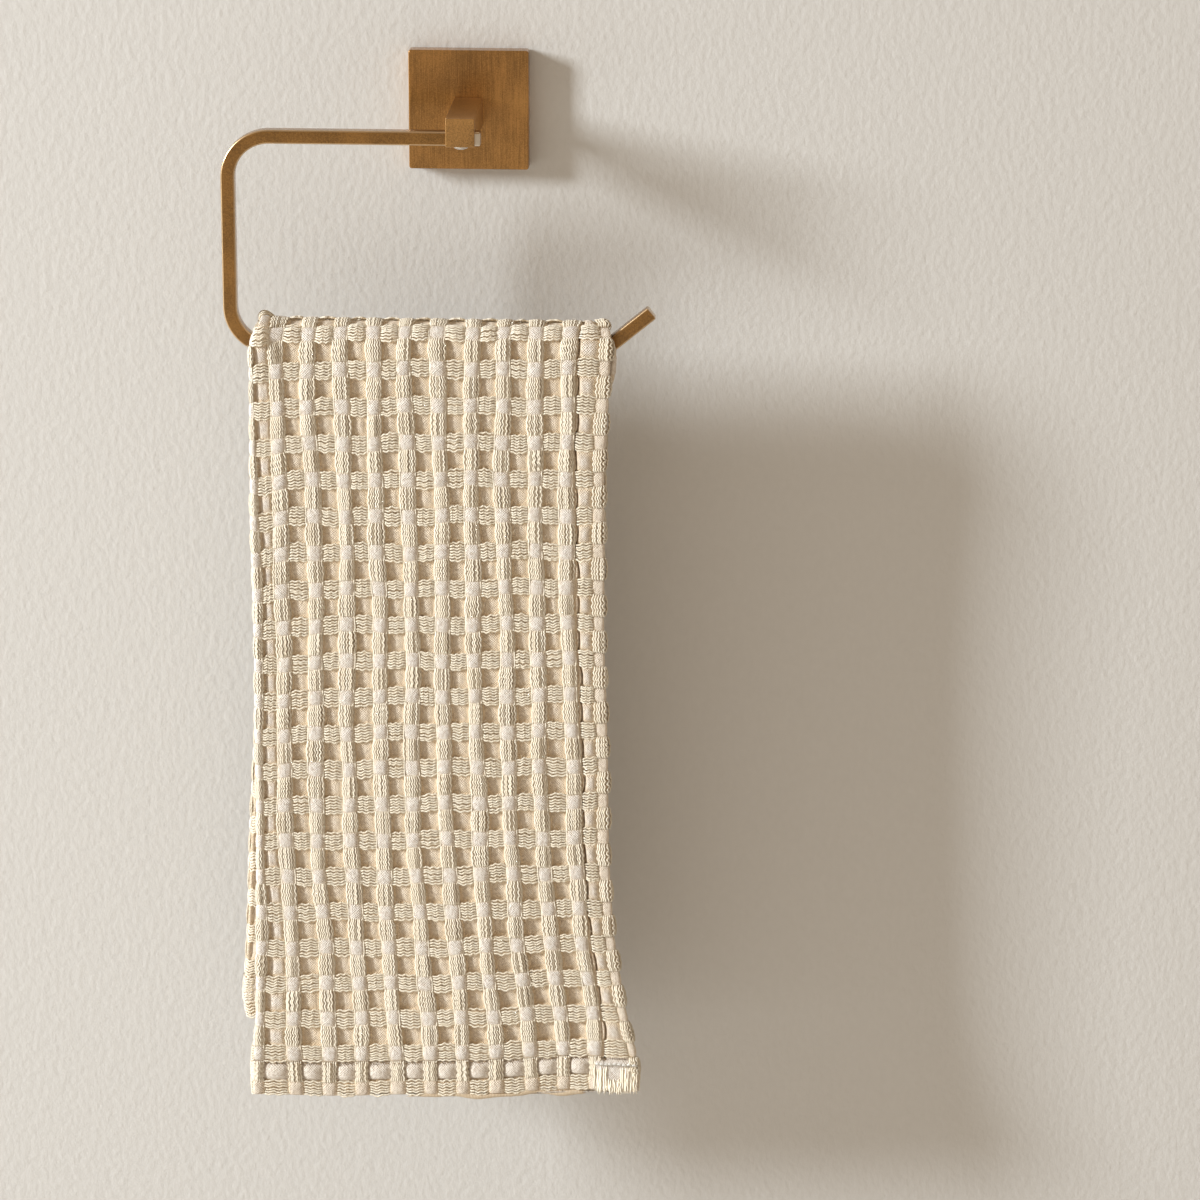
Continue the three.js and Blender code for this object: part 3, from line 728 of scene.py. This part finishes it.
row, _ = row_at(stations)
banded = np.where(row_kind[row] == "squares", 1.0, 0.0)
peek = 4.2 * smooth(stations, 10, 20) * (1 - smooth(stations, 34, 46))
turn_right = middle_top / 2
right_centre = hem_edge - 2.4 + peek - turn_right
free_edge = fold + layer["free_inset"]
over_bar = np.minimum(np.abs(stations) / outer_radius, math.pi / 2)
seat = (BAR / 2 + SEAT) / np.cos(np.minimum(over_bar, 0.9))
inner_low = np.minimum(0, seat - crown_inside) * (1 - smooth(over_bar, 0.55, 0.85))
outer_core = (outer_top + outer_low) / 2
middle_core = (middle_top + middle_low) / 2
outer_turn = (outer_low + middle_top) / 2
inner_turn = (inner_top + middle_low) / 2
add_run(roll_start - 0.5, face_start, outer_low, outer_core, 0.0)
add_under(face_start - 0.3, outer_turn, face_start - 1.2, outer_turn)
add_run(face_start, right_centre, middle_top, middle_core, 1.0)

# The fold on the right, where the middle layer turns to become the inner one. It is painted less pale as
# painted shade, and darker still between the squares.
for degrees in (90, 62, 35, 8, -20, -50, -90):
    across, upward = math.cos(math.radians(degrees)), math.sin(math.radians(degrees))
    reach = turn_right + 0.45 * (banded - 0.5) * across
    core = turn_right - 1
    edge_place = (right_centre + reach * across, turn_right + reach * upward)
    core_place = (right_centre + core * across, turn_right + core * upward)
    add_under(*edge_place, *core_place, 0.3 + 0.4 * banded)
add_under(right_centre - 4, inner_low, right_centre - 4, inner_top / 2)

# The inner face shows from behind, below the back drop. It has the same ribs, with sunk gaps between them,
# and it is painted darker where it is sunk, as painted shade.
for line in range(2 * RIBS, 3, -1):
    for share in (0.88, 0.12):
        x = lines[line - 1] + (lines[line] - lines[line - 1]) * share
        in_gap = column_kind[line - 1] < 0
        sunk = 0.5 * in_gap + (0.3 + 0.3 * in_gap) * (1 - banded)
        add_under(x, inner_low + sunk, x, inner_top / 2, 0.75 - 0.6 * sunk)
add_under(free_edge + 2.5, inner_low, free_edge + 2.5, inner_top / 2)
add_under(free_edge + 0.5, 0, free_edge + 1.2, inner_top / 2)
add_under(free_edge, inner_top / 2, free_edge + 1.2, inner_top / 2)
add_run(free_edge + 0.5, right_centre, inner_top, inner_top / 2, 3.0)
add_under(right_centre + 0.3, inner_turn, right_centre + 1.2, inner_turn)
add_run(right_centre, face_start + 11, middle_low, middle_core, 4.0)
under_x, under_t, under_core_x, under_core_t, under_paleness_and_shade = np.moveaxis(np.array(under), 1, 0)

# The under layers hang a little lower than the front hem over most of its width.
sag = 1.6 * smooth(under_x, -30, -6) * (1 - smooth(under_x, 50, 62)) * smooth(stations, 366, 380)
ring_s = np.concatenate([stations + 0 * face_u, stations + sag])
ring_x, ring_t = np.concatenate([face_x, under_x]), np.concatenate([face_t, under_t])
core_x = np.concatenate([face_core_x, under_core_x])
core_t = np.concatenate([face_core_t, under_core_t])
ring_pale_and_shade = np.concatenate([face_paleness_and_shade, under_paleness_and_shade])
ring_seam_and_shade = np.concatenate([face_seam_and_shade, 0 * under_paleness_and_shade])


def cut_end(station, side):
    """Rings that close one end of the cloth, drawn in to the middle of each layer as it is turned in."""
    for degrees in END_ANGLES:
        keep, reach = math.cos(math.radians(degrees)), math.sin(math.radians(degrees))
        x = core_x[:, station] + (ring_x[:, station] - core_x[:, station]) * keep
        s = ring_s[:, station] + side * HEM_ROUND * reach
        t = core_t[:, station] + (ring_t[:, station] - core_t[:, station]) * keep
        yield x, s, t, ring_pale_and_shade[:, station], ring_seam_and_shade[:, station]


rings = list(zip(ring_x.T, ring_s.T, ring_t.T, ring_pale_and_shade.T, ring_seam_and_shade.T))
rings = [*cut_end(0, -1)][::-1] + rings + [*cut_end(-1, 1)]
cloth_x, cloth_s, cloth_t, cloth_pale_and_shade, cloth_seam_and_shade = (np.array(part) for part in zip(*rings))
numbers = np.arange(cloth_x.size).reshape(cloth_x.shape)
beside = np.roll(numbers, -1, axis=1)
towel_faces = np.stack([numbers[:-1], numbers[1:], beside[1:], beside[:-1]], axis=-1)
towel_faces = towel_faces.reshape(-1, 4).tolist()

# Both ends are closed over the section, with every triangle facing outwards.
for end, flip in ((0, False), (-1, True)):
    flat = [Vector((x, t, 0)) for x, t in zip(cloth_x[end], cloth_t[end])]
    for corners in geometry.tessellate_polygon([flat]):
        a, b, c = (int(numbers[end][corner]) for corner in corners)
        p, q, r = (flat[corner] for corner in corners)
        turned_over = (q - p).cross(r - p).z < 0
        towel_faces.append((a, b, c) if turned_over != flip else (a, c, b))

# The plain weave between the floats: threads over and under each other, with fuzz, blotches, dark seams and
# painted shade.
THREAD_PITCH = 1.15
cloth = Finish("waffle cloth", Roughness=0.88, Specular_IOR_Level=0.25, Sheen_Weight=0.1)
threads = cloth.node("ShaderNodeUVMap", {"uv_map": "threads"})
thread_x = cloth.node("ShaderNodeSeparateXYZ", {}, {"Vector": threads}, output="X")
thread_s = cloth.node("ShaderNodeSeparateXYZ", {}, {"Vector": threads}, output="Y")
uneven = cloth.noise(cloth.place(), 420.0, 2.0)
over_under = (thread_x * (2 * math.pi / THREAD_PITCH) + uneven * 2.5).wave()
over_under = over_under * (thread_s * (2 * math.pi / THREAD_PITCH) + uneven * 2.5).wave()
blotches = cloth.noise(cloth.place(), 60.0, 2.0)
fuzz = cloth.noise(cloth.place(), 800.0, 2.0, 0.65)
# Low paleness is painted tan, as painted shade in the pockets and under the floats; high paleness is the
# squares' own pinkish white.
plain = cloth.mix(cloth.painted("pale"), (0.87, 0.68, 0.455, 1), (0.96, 0.9, 0.845, 1))
grain = (over_under * 0.5 + 0.5) * 0.2 + fuzz * 0.8
woven = cloth.mix(grain.between(0.4, 0.52), cloth.mix(0.5, plain, (0.56, 0.43, 0.31, 1)), plain)
woven = cloth.mix(blotches.between(0.35, 0.65) * 0.2, woven, (0.86, 0.77, 0.66, 1))
cloth.feed(
    # The seam mark paints dark brown, partly as the seam line's colour and partly as painted shade in
    # grooves and round the puffs.
    Base_Color=cloth.mix(cloth.painted("seam"), woven, (0.3, 0.2, 0.11, 1)),
    Normal=cloth.bump(over_under * 0.4 + fuzz * 1.6, 0.0006, 1.0),
)
towel_points = drape(cloth_x, cloth_s, cloth_t).reshape(-1, 3)
towel = made_piece("waffle_towel", towel_points, towel_faces, cloth, "waffle_cloth")
paint(towel, "pale", cloth_pale_and_shade.ravel())
paint(towel, "seam", cloth_seam_and_shade.ravel())
thread_map = towel.data.uv_layers.new(name="threads")
corner_points = np.zeros(len(towel.data.loops), np.int32)
towel.data.loops.foreach_get("vertex_index", corner_points)
flat_cloth = np.stack([cloth_x.ravel(), cloth_s.ravel()], axis=-1)
thread_map.data.foreach_set("uv", flat_cloth[corner_points].astype(np.float32).ravel())
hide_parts("towel")


# Warp floats
# On every rib, between its plain squares, the lengthwise threads lie loose for one pocket's height. They
# spread a little, cross and wander, and stand proud as a soft barrel.
warp = {"yarns": 7, "radius": 0.53, "sway": 0.4}
rib_edge = {"inward": 0.45, "radius": 0.33, "points": 150}


def yarn_finish(name, darker, lighter):
    """Twisted yarn from darker to lighter, with its ply and its hairs in the colour and the surface, and
    painted shade between the turns of its ply.
    """
    finish = Finish(name, Roughness=0.8, Specular_IOR_Level=0.3, Sheen_Weight=0.15)
    tint = finish.painted("tint")
    twist = (finish.painted("twist") * 9.0 + tint * 9.0).wave()
    hairs = finish.noise(finish.place(), 1800.0, 2.0)
    ply = finish.mix(tint, (*darker, 1), (*lighter, 1))
    shaded = finish.mix(0.4, ply, (*[channel * 0.6 for channel in darker], 1))
    return finish.feed(
        Base_Color=finish.mix((twist * 0.3 + hairs * 0.8).between(0.0, 0.6), shaded, ply),
        Normal=finish.bump(twist * 0.5 + hairs, 0.00012, 0.8),
    )


warp_yarn = yarn_finish("cream warp yarn", (0.81, 0.71, 0.56), (0.91, 0.835, 0.71))
TAPERED_END = 0.45


def yarns(name, u, s, height, radius, tints, finish=warp_yarn, sides=3):
    """Tubes along paths that all have the same number of points: u across, s along, height off the face."""
    x, t = on_face(u, s, height)
    middle = drape(x, s, t)
    x, t = on_face(u, s, height + 1.0)
    outward = drape(x, s, t) - middle
    forward = np.gradient(middle, axis=1)
    sideways = np.cross(forward, outward)
    sideways /= np.linalg.norm(sideways, axis=-1, keepdims=True)
    outward = np.cross(sideways, forward)
    outward /= np.linalg.norm(outward, axis=-1, keepdims=True)
    count, steps = u.shape
    thick = np.array(np.broadcast_to(radius, u.shape))
    thick[:, [0, -1]] *= TAPERED_END
    turn = 2 * np.pi * (np.arange(sides) / sides + 1 / 12)
    ring_of = sideways[:, :, None] * np.cos(turn)[:, None] + outward[:, :, None] * np.sin(turn)[:, None]
    points = middle[:, :, None] + ring_of * thick[:, :, None, None]
    ids = np.arange(count * steps * sides).reshape(count, steps, sides)
    beside = np.roll(ids, -1, axis=2)
    walls = np.stack([ids[:, :-1], beside[:, :-1], beside[:, 1:], ids[:, 1:]], axis=-1).reshape(-1, 4)
    faces = [*walls.tolist(), *ids[:, 0, ::-1].tolist(), *ids[:, -1].tolist()]
    piece = made_piece(name, points.reshape(-1, 3), faces, finish, "waffle_cloth")
    paint(piece, "tint", np.repeat(tints, steps * sides))
    length = np.linalg.norm(np.diff(middle, axis=1, prepend=middle[:, :1]), axis=-1).cumsum(axis=1)
    paint(piece, "twist", np.repeat(length.ravel(), sides))
    return piece


warp_steps = np.linspace(0, 1, 16)
rib_lines = [(2 * rib + 1, 2 * rib + 2) for rib in range(RIBS)] + [(EDGE_RIB, EDGE_RIB + 1)]


def warp_paths(low, high, kind):
    """The loose lengthwise yarns of one row, on each rib and on the rib along the hemmed edge."""
    s = low - 0.9 + (high - low + 1.8) * warp_steps
    lines = key_lines(np.clip(s, low + 0.01, high - 0.01))
    arch = np.sin(math.pi * warp_steps) ** 0.6
    gathered = 1.0 if kind == "puffs" else 0.92
    for left_line, right_line in rib_lines:
        left, right = lines[left_line], lines[right_line]
        place = (np.arange(warp["yarns"])[:, None] + 0.5) / warp["yarns"] * 2 - 1
        place = place + dice.uniform(-0.05, 0.05, place.shape)
        phase = dice.uniform(0, 2 * math.pi) + place * dice.uniform(-1.4, 1.4)
        waves = dice.uniform(3.2, 4.6)
        sway = warp["sway"] * np.sin(waves * 2 * math.pi * warp_steps + phase) * arch
        sway = sway + dice.uniform(-0.08, 0.08, (warp["yarns"], len(warp_steps))) * arch
        u = (left + right) / 2 + place * (right - left) / 2 * gathered + sway
        height = -0.45 + 0.75 * arch * (1 - 0.35 * place**2) - 0.25 * np.abs(place) ** 3
        height = height + dice.uniform(-0.12, 0.12, place.shape)
        if left_line == EDGE_RIB:
            height = height + 0.7 * arch
        yield np.stack([u, s + 0 * u, height])


def in_drop(row, side):
    """Whether the row lies on the front drop, side 1, or the back drop, side -1."""
    return (row[0] + row[1]) * side > 0


for part, side in (("front", 1), ("back", -1)):
    loose_rows = [row for row in rows if row[2] in ("pockets", "puffs") and in_drop(row, side)]
    path = np.concatenate([paths for row in loose_rows for paths in warp_paths(*row)], axis=1)
    tints = dice.uniform(0, 0.8, path.shape[1])
    yarns(f"warp_floats_{part}", *path, warp["radius"], tints)

# Both edges of every rib are drawn up tight, and show as one bright yarn that runs the length of the drop.
for part, start, end in (("front", -2.0, 363.0), ("back", -329.0, -2.0)):
    s = np.linspace(start, end, rib_edge["points"])
    lines = key_lines(s)
    row, along = row_at(s)
    lower = -0.45 - 0.45 * np.sqrt(np.clip(1 - along**2, 0, 1)) * (row_kind[row] == "pockets")
    paths = []
    for left_line, right_line in rib_lines[:-1]:
        for line, inward in ((left_line, rib_edge["inward"]), (right_line, -rib_edge["inward"])):
            jitter = dice.uniform(-0.16, 0.16, (2, len(s)))
            paths.append(np.stack([lines[line] + inward + jitter[0], s, lower + jitter[1]]))
    path = np.stack(paths, axis=1)
    tints = dice.uniform(0.5, 1, path.shape[1])
    yarns(f"rib_edges_{part}", *path, rib_edge["radius"], tints)


# Weft floats
# In every raised row, between two ribs, the crosswise threads lie loose side by side. They dip below the
# ribs, and run in small chevrons where the cloth has drawn together.
weft = {"yarns": 6.8, "radius": 0.5, "sway": 0.42}
weft_yarn = yarn_finish("cream weft yarn", (0.92, 0.79, 0.59), (1.0, 0.92, 0.78))
weft_steps = np.linspace(0, 1, 11)
weft_lines = [(line, line + 1) for line in range(0, SEAM - 1, 2)] + [(SEAM, EDGE_RIB)]


def weft_paths(low, high, kind):
    """The loose crosswise yarns of one row, in each gap between ribs and on the hem's strip."""
    count = round(weft["yarns"] * (high - low) / (2 * half_row))
    place = (np.arange(count)[:, None] + 0.5) / count
    lines = key_lines(low + (high - low) * place[:, 0])
    for left_line, right_line in weft_lines if kind == "squares" else weft_lines[:1]:
        left, right = lines[left_line][:, None] - 0.7, lines[right_line][:, None] + 0.7
        arch = np.sin(math.pi * weft_steps) ** 0.7
        spread = 0.92 + (0.2 + 0.08 * dice.uniform(-1, 1)) * arch
        uneven_place = place + dice.uniform(-0.02, 0.02, place.shape) - 0.5
        s = (low + high) / 2 + uneven_place * (high - low) * spread
        bend = dice.uniform(0.2, 0.8) * (1 if dice.uniform() < 0.75 else -1)
        peak = dice.uniform(0.3, 0.7)
        s = s + bend * (1 - np.abs(weft_steps - peak) / max(peak, 1 - peak)) - bend * 0.4
        phase = dice.uniform(0, 2 * math.pi) + place * dice.uniform(-2.0, 2.0)
        waves = dice.uniform(2.2, 3.4)
        s = s + weft["sway"] * np.sin(waves * 2 * math.pi * weft_steps + phase) * arch
        s = s + dice.uniform(-0.12, 0.12, s.shape) * arch
        u = left + (right - left) * weft_steps
        over_crown = 0.8 if abs(low + high) < 24 else 0.0
        height = -0.9 + (0.6 + over_crown) * arch * (1 - 0.5 * (2 * place - 1) ** 4)
        height = height + dice.uniform(-0.18, 0.18, place.shape)
        yield np.stack([u, s, height + 0 * u])


for part, side in (("front", 1), ("back", -1)):
    loose_rows = [row for row in rows if row[2] in ("squares", "puffs") and in_drop(row, side)]
    path = np.concatenate([paths for row in loose_rows for paths in weft_paths(*row)], axis=1)
    tints = dice.uniform(0.6, 1, path.shape[1])
    yarns(f"weft_floats_{part}", *path, weft["radius"], tints, weft_yarn)


# Stitches and lint
# The turned edges are held by a running stitch of brown sewing thread. In the front corner, where two
# turned edges meet, the cloth is thick, its cut yarns stand up, and white thread closes it. Fine lint
# stands off it all.
stitch = {"end_pitch": 2.9, "end": (1.7, 0.3), "side_pitch": 3.7, "side": (0.15, 2.4), "radius": 0.22}
corner = {"middle": 370.0, "stitches": 9, "stitch_s": 367.0, "stitch_radius": 0.62, "yarn_radius": 0.46}
lint = {"front": 3000, "back": 1500, "radius": 0.05}
sewing_thread = yarn_finish("brown sewing thread", (0.26, 0.165, 0.08), (0.42, 0.28, 0.15))
white_thread = yarn_finish("white sewing thread", (0.9, 0.87, 0.82), (0.96, 0.94, 0.9))
stitch_steps = np.linspace(0, 1, 5)
stitch_arch = np.sin(math.pi * stitch_steps)


def stitch_path(u, s, run, low, high):
    """Stitches that start at the points u, s, run on across and along, and rise from low to high."""
    u, s = (start[:, None] + length * stitch_steps for start, length in zip((u, s), run))
    return np.stack([u, s, low + (high - low) * stitch_arch + dice.uniform(-0.12, 0.12, (len(u), 1))])


end_seams = []
for drop, side in ((front, 1), (back, -1)):
    lines = key_lines(np.array([side * (drop["stitch"] - 0.5)]))[:, 0]
    u = np.arange(lines[1], lines[SEAM], stitch["end_pitch"])
    s = side * (drop["stitch"] + dice.uniform(-0.6, 0.4, len(u)))
    u = u + dice.uniform(-0.3, 0.3, len(u))
    end_seams.append(stitch_path(u, s, stitch["end"], -0.5, 0.2))
s = np.concatenate([np.arange(*ends, stitch["side_pitch"]) for ends in ((-326, -12), (10, 360))])
u = key_lines(s)[SEAM] + dice.uniform(-0.25, 0.25, len(s))
side_seam = stitch_path(u, s, stitch["side"], -1.2, -0.45)
path = np.concatenate([*end_seams, side_seam], axis=1)
tints = dice.uniform(0, 1, path.shape[1])
yarns("brown_stitches", *path, stitch["radius"], tints, sewing_thread)

# White scallops close the top of the thick corner.
corner_left = key_lines(np.array([corner["middle"]]))[SEAM - 1, 0] - 3.6
corner_right = front_edges[-1][4] - 0.6
u = np.linspace(corner_left + 0.8, corner_right - 2.4, corner["stitches"])
s = corner["stitch_s"] + dice.uniform(-0.2, 0.2, len(u))
scallops = stitch_path(u, s, (2.1, 0.0), 1.0, 1.9)
scallops[1] += 0.9 * (0.5 - stitch_arch)
tints = dice.uniform(0.5, 1, len(u))
yarns("corner_stitches", *scallops, corner["stitch_radius"], tints, white_thread)

# Cut yarns stand up on both sides of the corner's pale square, and below it.
cut_steps = np.linspace(0, 1, 7)
corner_yarns = []
for left, right, top, count in (
    (corner_left, corner_left + 6.6, 368.0, 12),
    (corner_right - 7.4, corner_right + 0.5, 368.0, 14),
    (corner_left + 6.4, corner_right - 7.2, 374.6, 12),
):
    u = np.linspace(left, right, count)[:, None] + dice.uniform(-0.25, 0.25, (count, 1))
    bottom = 381.2 + dice.uniform(-0.8, 0.9, (count, 1))
    s = top + dice.uniform(-0.6, 0.6, (count, 1)) + (bottom - top) * cut_steps
    sway = dice.uniform(-0.28, 0.28, (count, len(cut_steps)))
    height = 0.5 + 0.3 * np.sin(math.pi * cut_steps) + dice.uniform(-0.12, 0.15, (count, 1))
    corner_yarns.append(np.stack([u + sway, s, height + 0 * s]))
path = np.concatenate(corner_yarns, axis=1)
tints = dice.uniform(0.5, 1, path.shape[1])
yarns("corner_cut_yarns", *path, corner["yarn_radius"], tints, weft_yarn)

# The turned edge of the cloth's under layer peeks out below the hem. It is painted a darker tan than the
# cloth, as painted shade below the hem.
turned_edge_in_shade = yarn_finish("turned edge in painted shade", (0.62, 0.48, 0.33), (0.72, 0.59, 0.43))
u = np.linspace(-30, 56, 44)
s = 381.6 + 0.5 * np.sin(u / 7) + 0.25 * np.sin(u / 2.9) + 1.4 * np.exp(-(((u - 44) / 9) ** 2))
thick = 1.25 + 0.2 * np.sin(u / 3.7 + 1) + dice.uniform(-0.12, 0.12, len(u))
thick = thick - 0.9 * (1 - smooth(u, -30, -14))
lip = np.stack([u, s, -1.5 + 0.2 * np.sin(u / 5)])[:, None]
yarns("turned_edge_below", *lip, thick[None], [0.5], turned_edge_in_shade, sides=8)

# Lint lies all over both drops, in short curled hairs.
lint_steps = np.linspace(0, 1, 4)
for part, low, high in (("front", -2.0, 381.0), ("back", -350.0, -2.0)):
    count = lint[part]
    s = dice.uniform(low, high, (count, 1))
    fold, _, _, hem_edge = edges_at(s)
    u = fold - 6 + (hem_edge + 10 - fold) * dice.uniform(0, 1, (count, 1))
    heading = dice.uniform(0, 2 * math.pi, (count, 1))
    long, rise = dice.uniform(0.8, 3.0, (count, 1)), dice.uniform(0.2, 1.1, (count, 1))
    curl = dice.uniform(-1.2, 1.2, (count, 1)) * lint_steps**2
    u = u + long * (np.cos(heading) * lint_steps - np.sin(heading) * curl * 0.5)
    s = s + long * (np.sin(heading) * lint_steps + np.cos(heading) * curl * 0.5)
    height = -0.2 + 2.2 * rise * lint_steps * (1.2 - 0.6 * lint_steps)
    tints = dice.uniform(0.4, 1, count)
    yarns(f"lint_{part}", u, s, height, lint["radius"], tints)


# Studio
# A pale backdrop behind the ring and a pale floor below it, lit by one large soft lamp from the upper left
# and by the room's own warm light.
backdrop_finish = Finish("pale backdrop", Roughness=0.9, Specular_IOR_Level=0.2)
stretched = backdrop_finish.scaled(backdrop_finish.place(), (1.0, 1.0, 0.7))
plaster = backdrop_finish.noise(stretched, 330.0, 3.0)
backdrop_finish.feed(
    Base_Color=backdrop_finish.mix(plaster, (0.64, 0.626, 0.612, 1), (0.678, 0.663, 0.648, 1)),
    Normal=backdrop_finish.bump(plaster, 0.0008, 0.35),
)

# It is clear from behind, so that the back of the towel shows in views from there.
plastered = Value(backdrop_finish, backdrop_finish.shader.outputs[0])
clear = backdrop_finish.node("ShaderNodeBsdfTransparent")
from_behind = backdrop_finish.node("ShaderNodeNewGeometry", output="Backfacing")
one_sided = backdrop_finish.node("ShaderNodeMixShader", {}, {0: from_behind, 1: plastered, 2: clear})
surface = backdrop_finish.tree.nodes["Material Output"].inputs["Surface"]
backdrop_finish.tree.links.new(one_sided.socket, surface)

floor_finish = Finish("pale floor", Roughness=0.85)
worn = floor_finish.noise(floor_finish.place(), 8.0)
floor_finish.feed(Base_Color=floor_finish.mix(worn, (0.7, 0.68, 0.64, 1), (0.74, 0.72, 0.68, 1)))


def stage_sheet(name, corners, faces, finish):
    """A flat sheet of the studio, which isn't part of the object, from corners in metres."""
    mesh = bpy.data.meshes.new(name)
    mesh.from_pydata(corners, [], faces)
    mesh.materials.append(finish.material)
    sheet = bpy.data.objects.new(name, mesh)
    bpy.context.scene.collection.objects.link(sheet)


def upright_corners(half, low, high):
    """The corners of a rectangle in the backdrop."""
    return [(x, BEHIND, z) for x, z in ((-half, low), (half, low), (half, high), (-half, high))]


# The backdrop is left open behind the plate, so that the plate's back has light from behind.
WIDE, HIGH, FLOOR_Z, BEHIND, OPEN = 1.6, 1.5, -1.1, 0.0006, 0.0262
FLOOR_WIDE = 6
backdrop_corners = upright_corners(WIDE, FLOOR_Z, HIGH) + upright_corners(OPEN, -OPEN, OPEN)
backdrop_faces = [(i, (i + 1) % 4, (i + 1) % 4 + 4, i + 4) for i in range(4)]
stage_sheet("backdrop", backdrop_corners, backdrop_faces, backdrop_finish)
floor_sides = ((-1, -1), (1, -1), (1, 1), (-1, 1))
floor_corners = [(x * FLOOR_WIDE, y * FLOOR_WIDE, FLOOR_Z) for x, y in floor_sides]
stage_sheet("floor", floor_corners, [(0, 1, 2, 3)], floor_finish)

key = bpy.data.lights.new("key", "AREA")
key.shape = "RECTANGLE"
key.size = 0.68
key.size_y = 1.55
key.energy = 440.0
key.color = (0.93, 0.98, 1.0)
key_lamp = bpy.data.objects.new("key", key)
key_lamp.location = (-4.8, -1.74, 1.58)
key_lamp.rotation_mode = "QUATERNION"
lit_point = Vector((-0.02, -0.05, -0.28))
key_lamp.rotation_quaternion = (key_lamp.location - lit_point).to_track_quat("Z", "Y")
bpy.context.scene.collection.objects.link(key_lamp)

world = bpy.data.worlds.new("room")
world.use_nodes = True
room_light = world.node_tree.nodes["Background"]
room_light.inputs["Color"].default_value = (1.0, 0.79, 0.565, 1)
room_light.inputs["Strength"].default_value = 0.435
bpy.context.scene.world = world
bpy.context.scene.view_settings.view_transform = "Standard"

# The camera stands two metres out, a little right of the ring and above it, and looks down at it.
yaw, pitch, roll = (math.radians(angle) for angle in (2.675, 16.522, 0.152))
forward = Vector((-math.sin(yaw) * math.cos(pitch), math.cos(yaw) * math.cos(pitch), -math.sin(pitch)))
level = Vector((math.cos(yaw), math.sin(yaw), 0))
upright = level.cross(forward)
right = level * math.cos(roll) + upright * math.sin(roll)
up = upright * math.cos(roll) - level * math.sin(roll)
camera = bpy.data.cameras.new("camera")
camera.lens = 141.7
camera.sensor_width = 36.0
camera_stand = bpy.data.objects.new("camera", camera)
camera_stand.matrix_world = Matrix((right, up, -forward)).transposed().to_4x4()
camera_stand.location = Vector((160.2, -2136.3, 399.5)) * MM
bpy.context.scene.collection.objects.link(camera_stand)
bpy.context.scene.camera = camera_stand
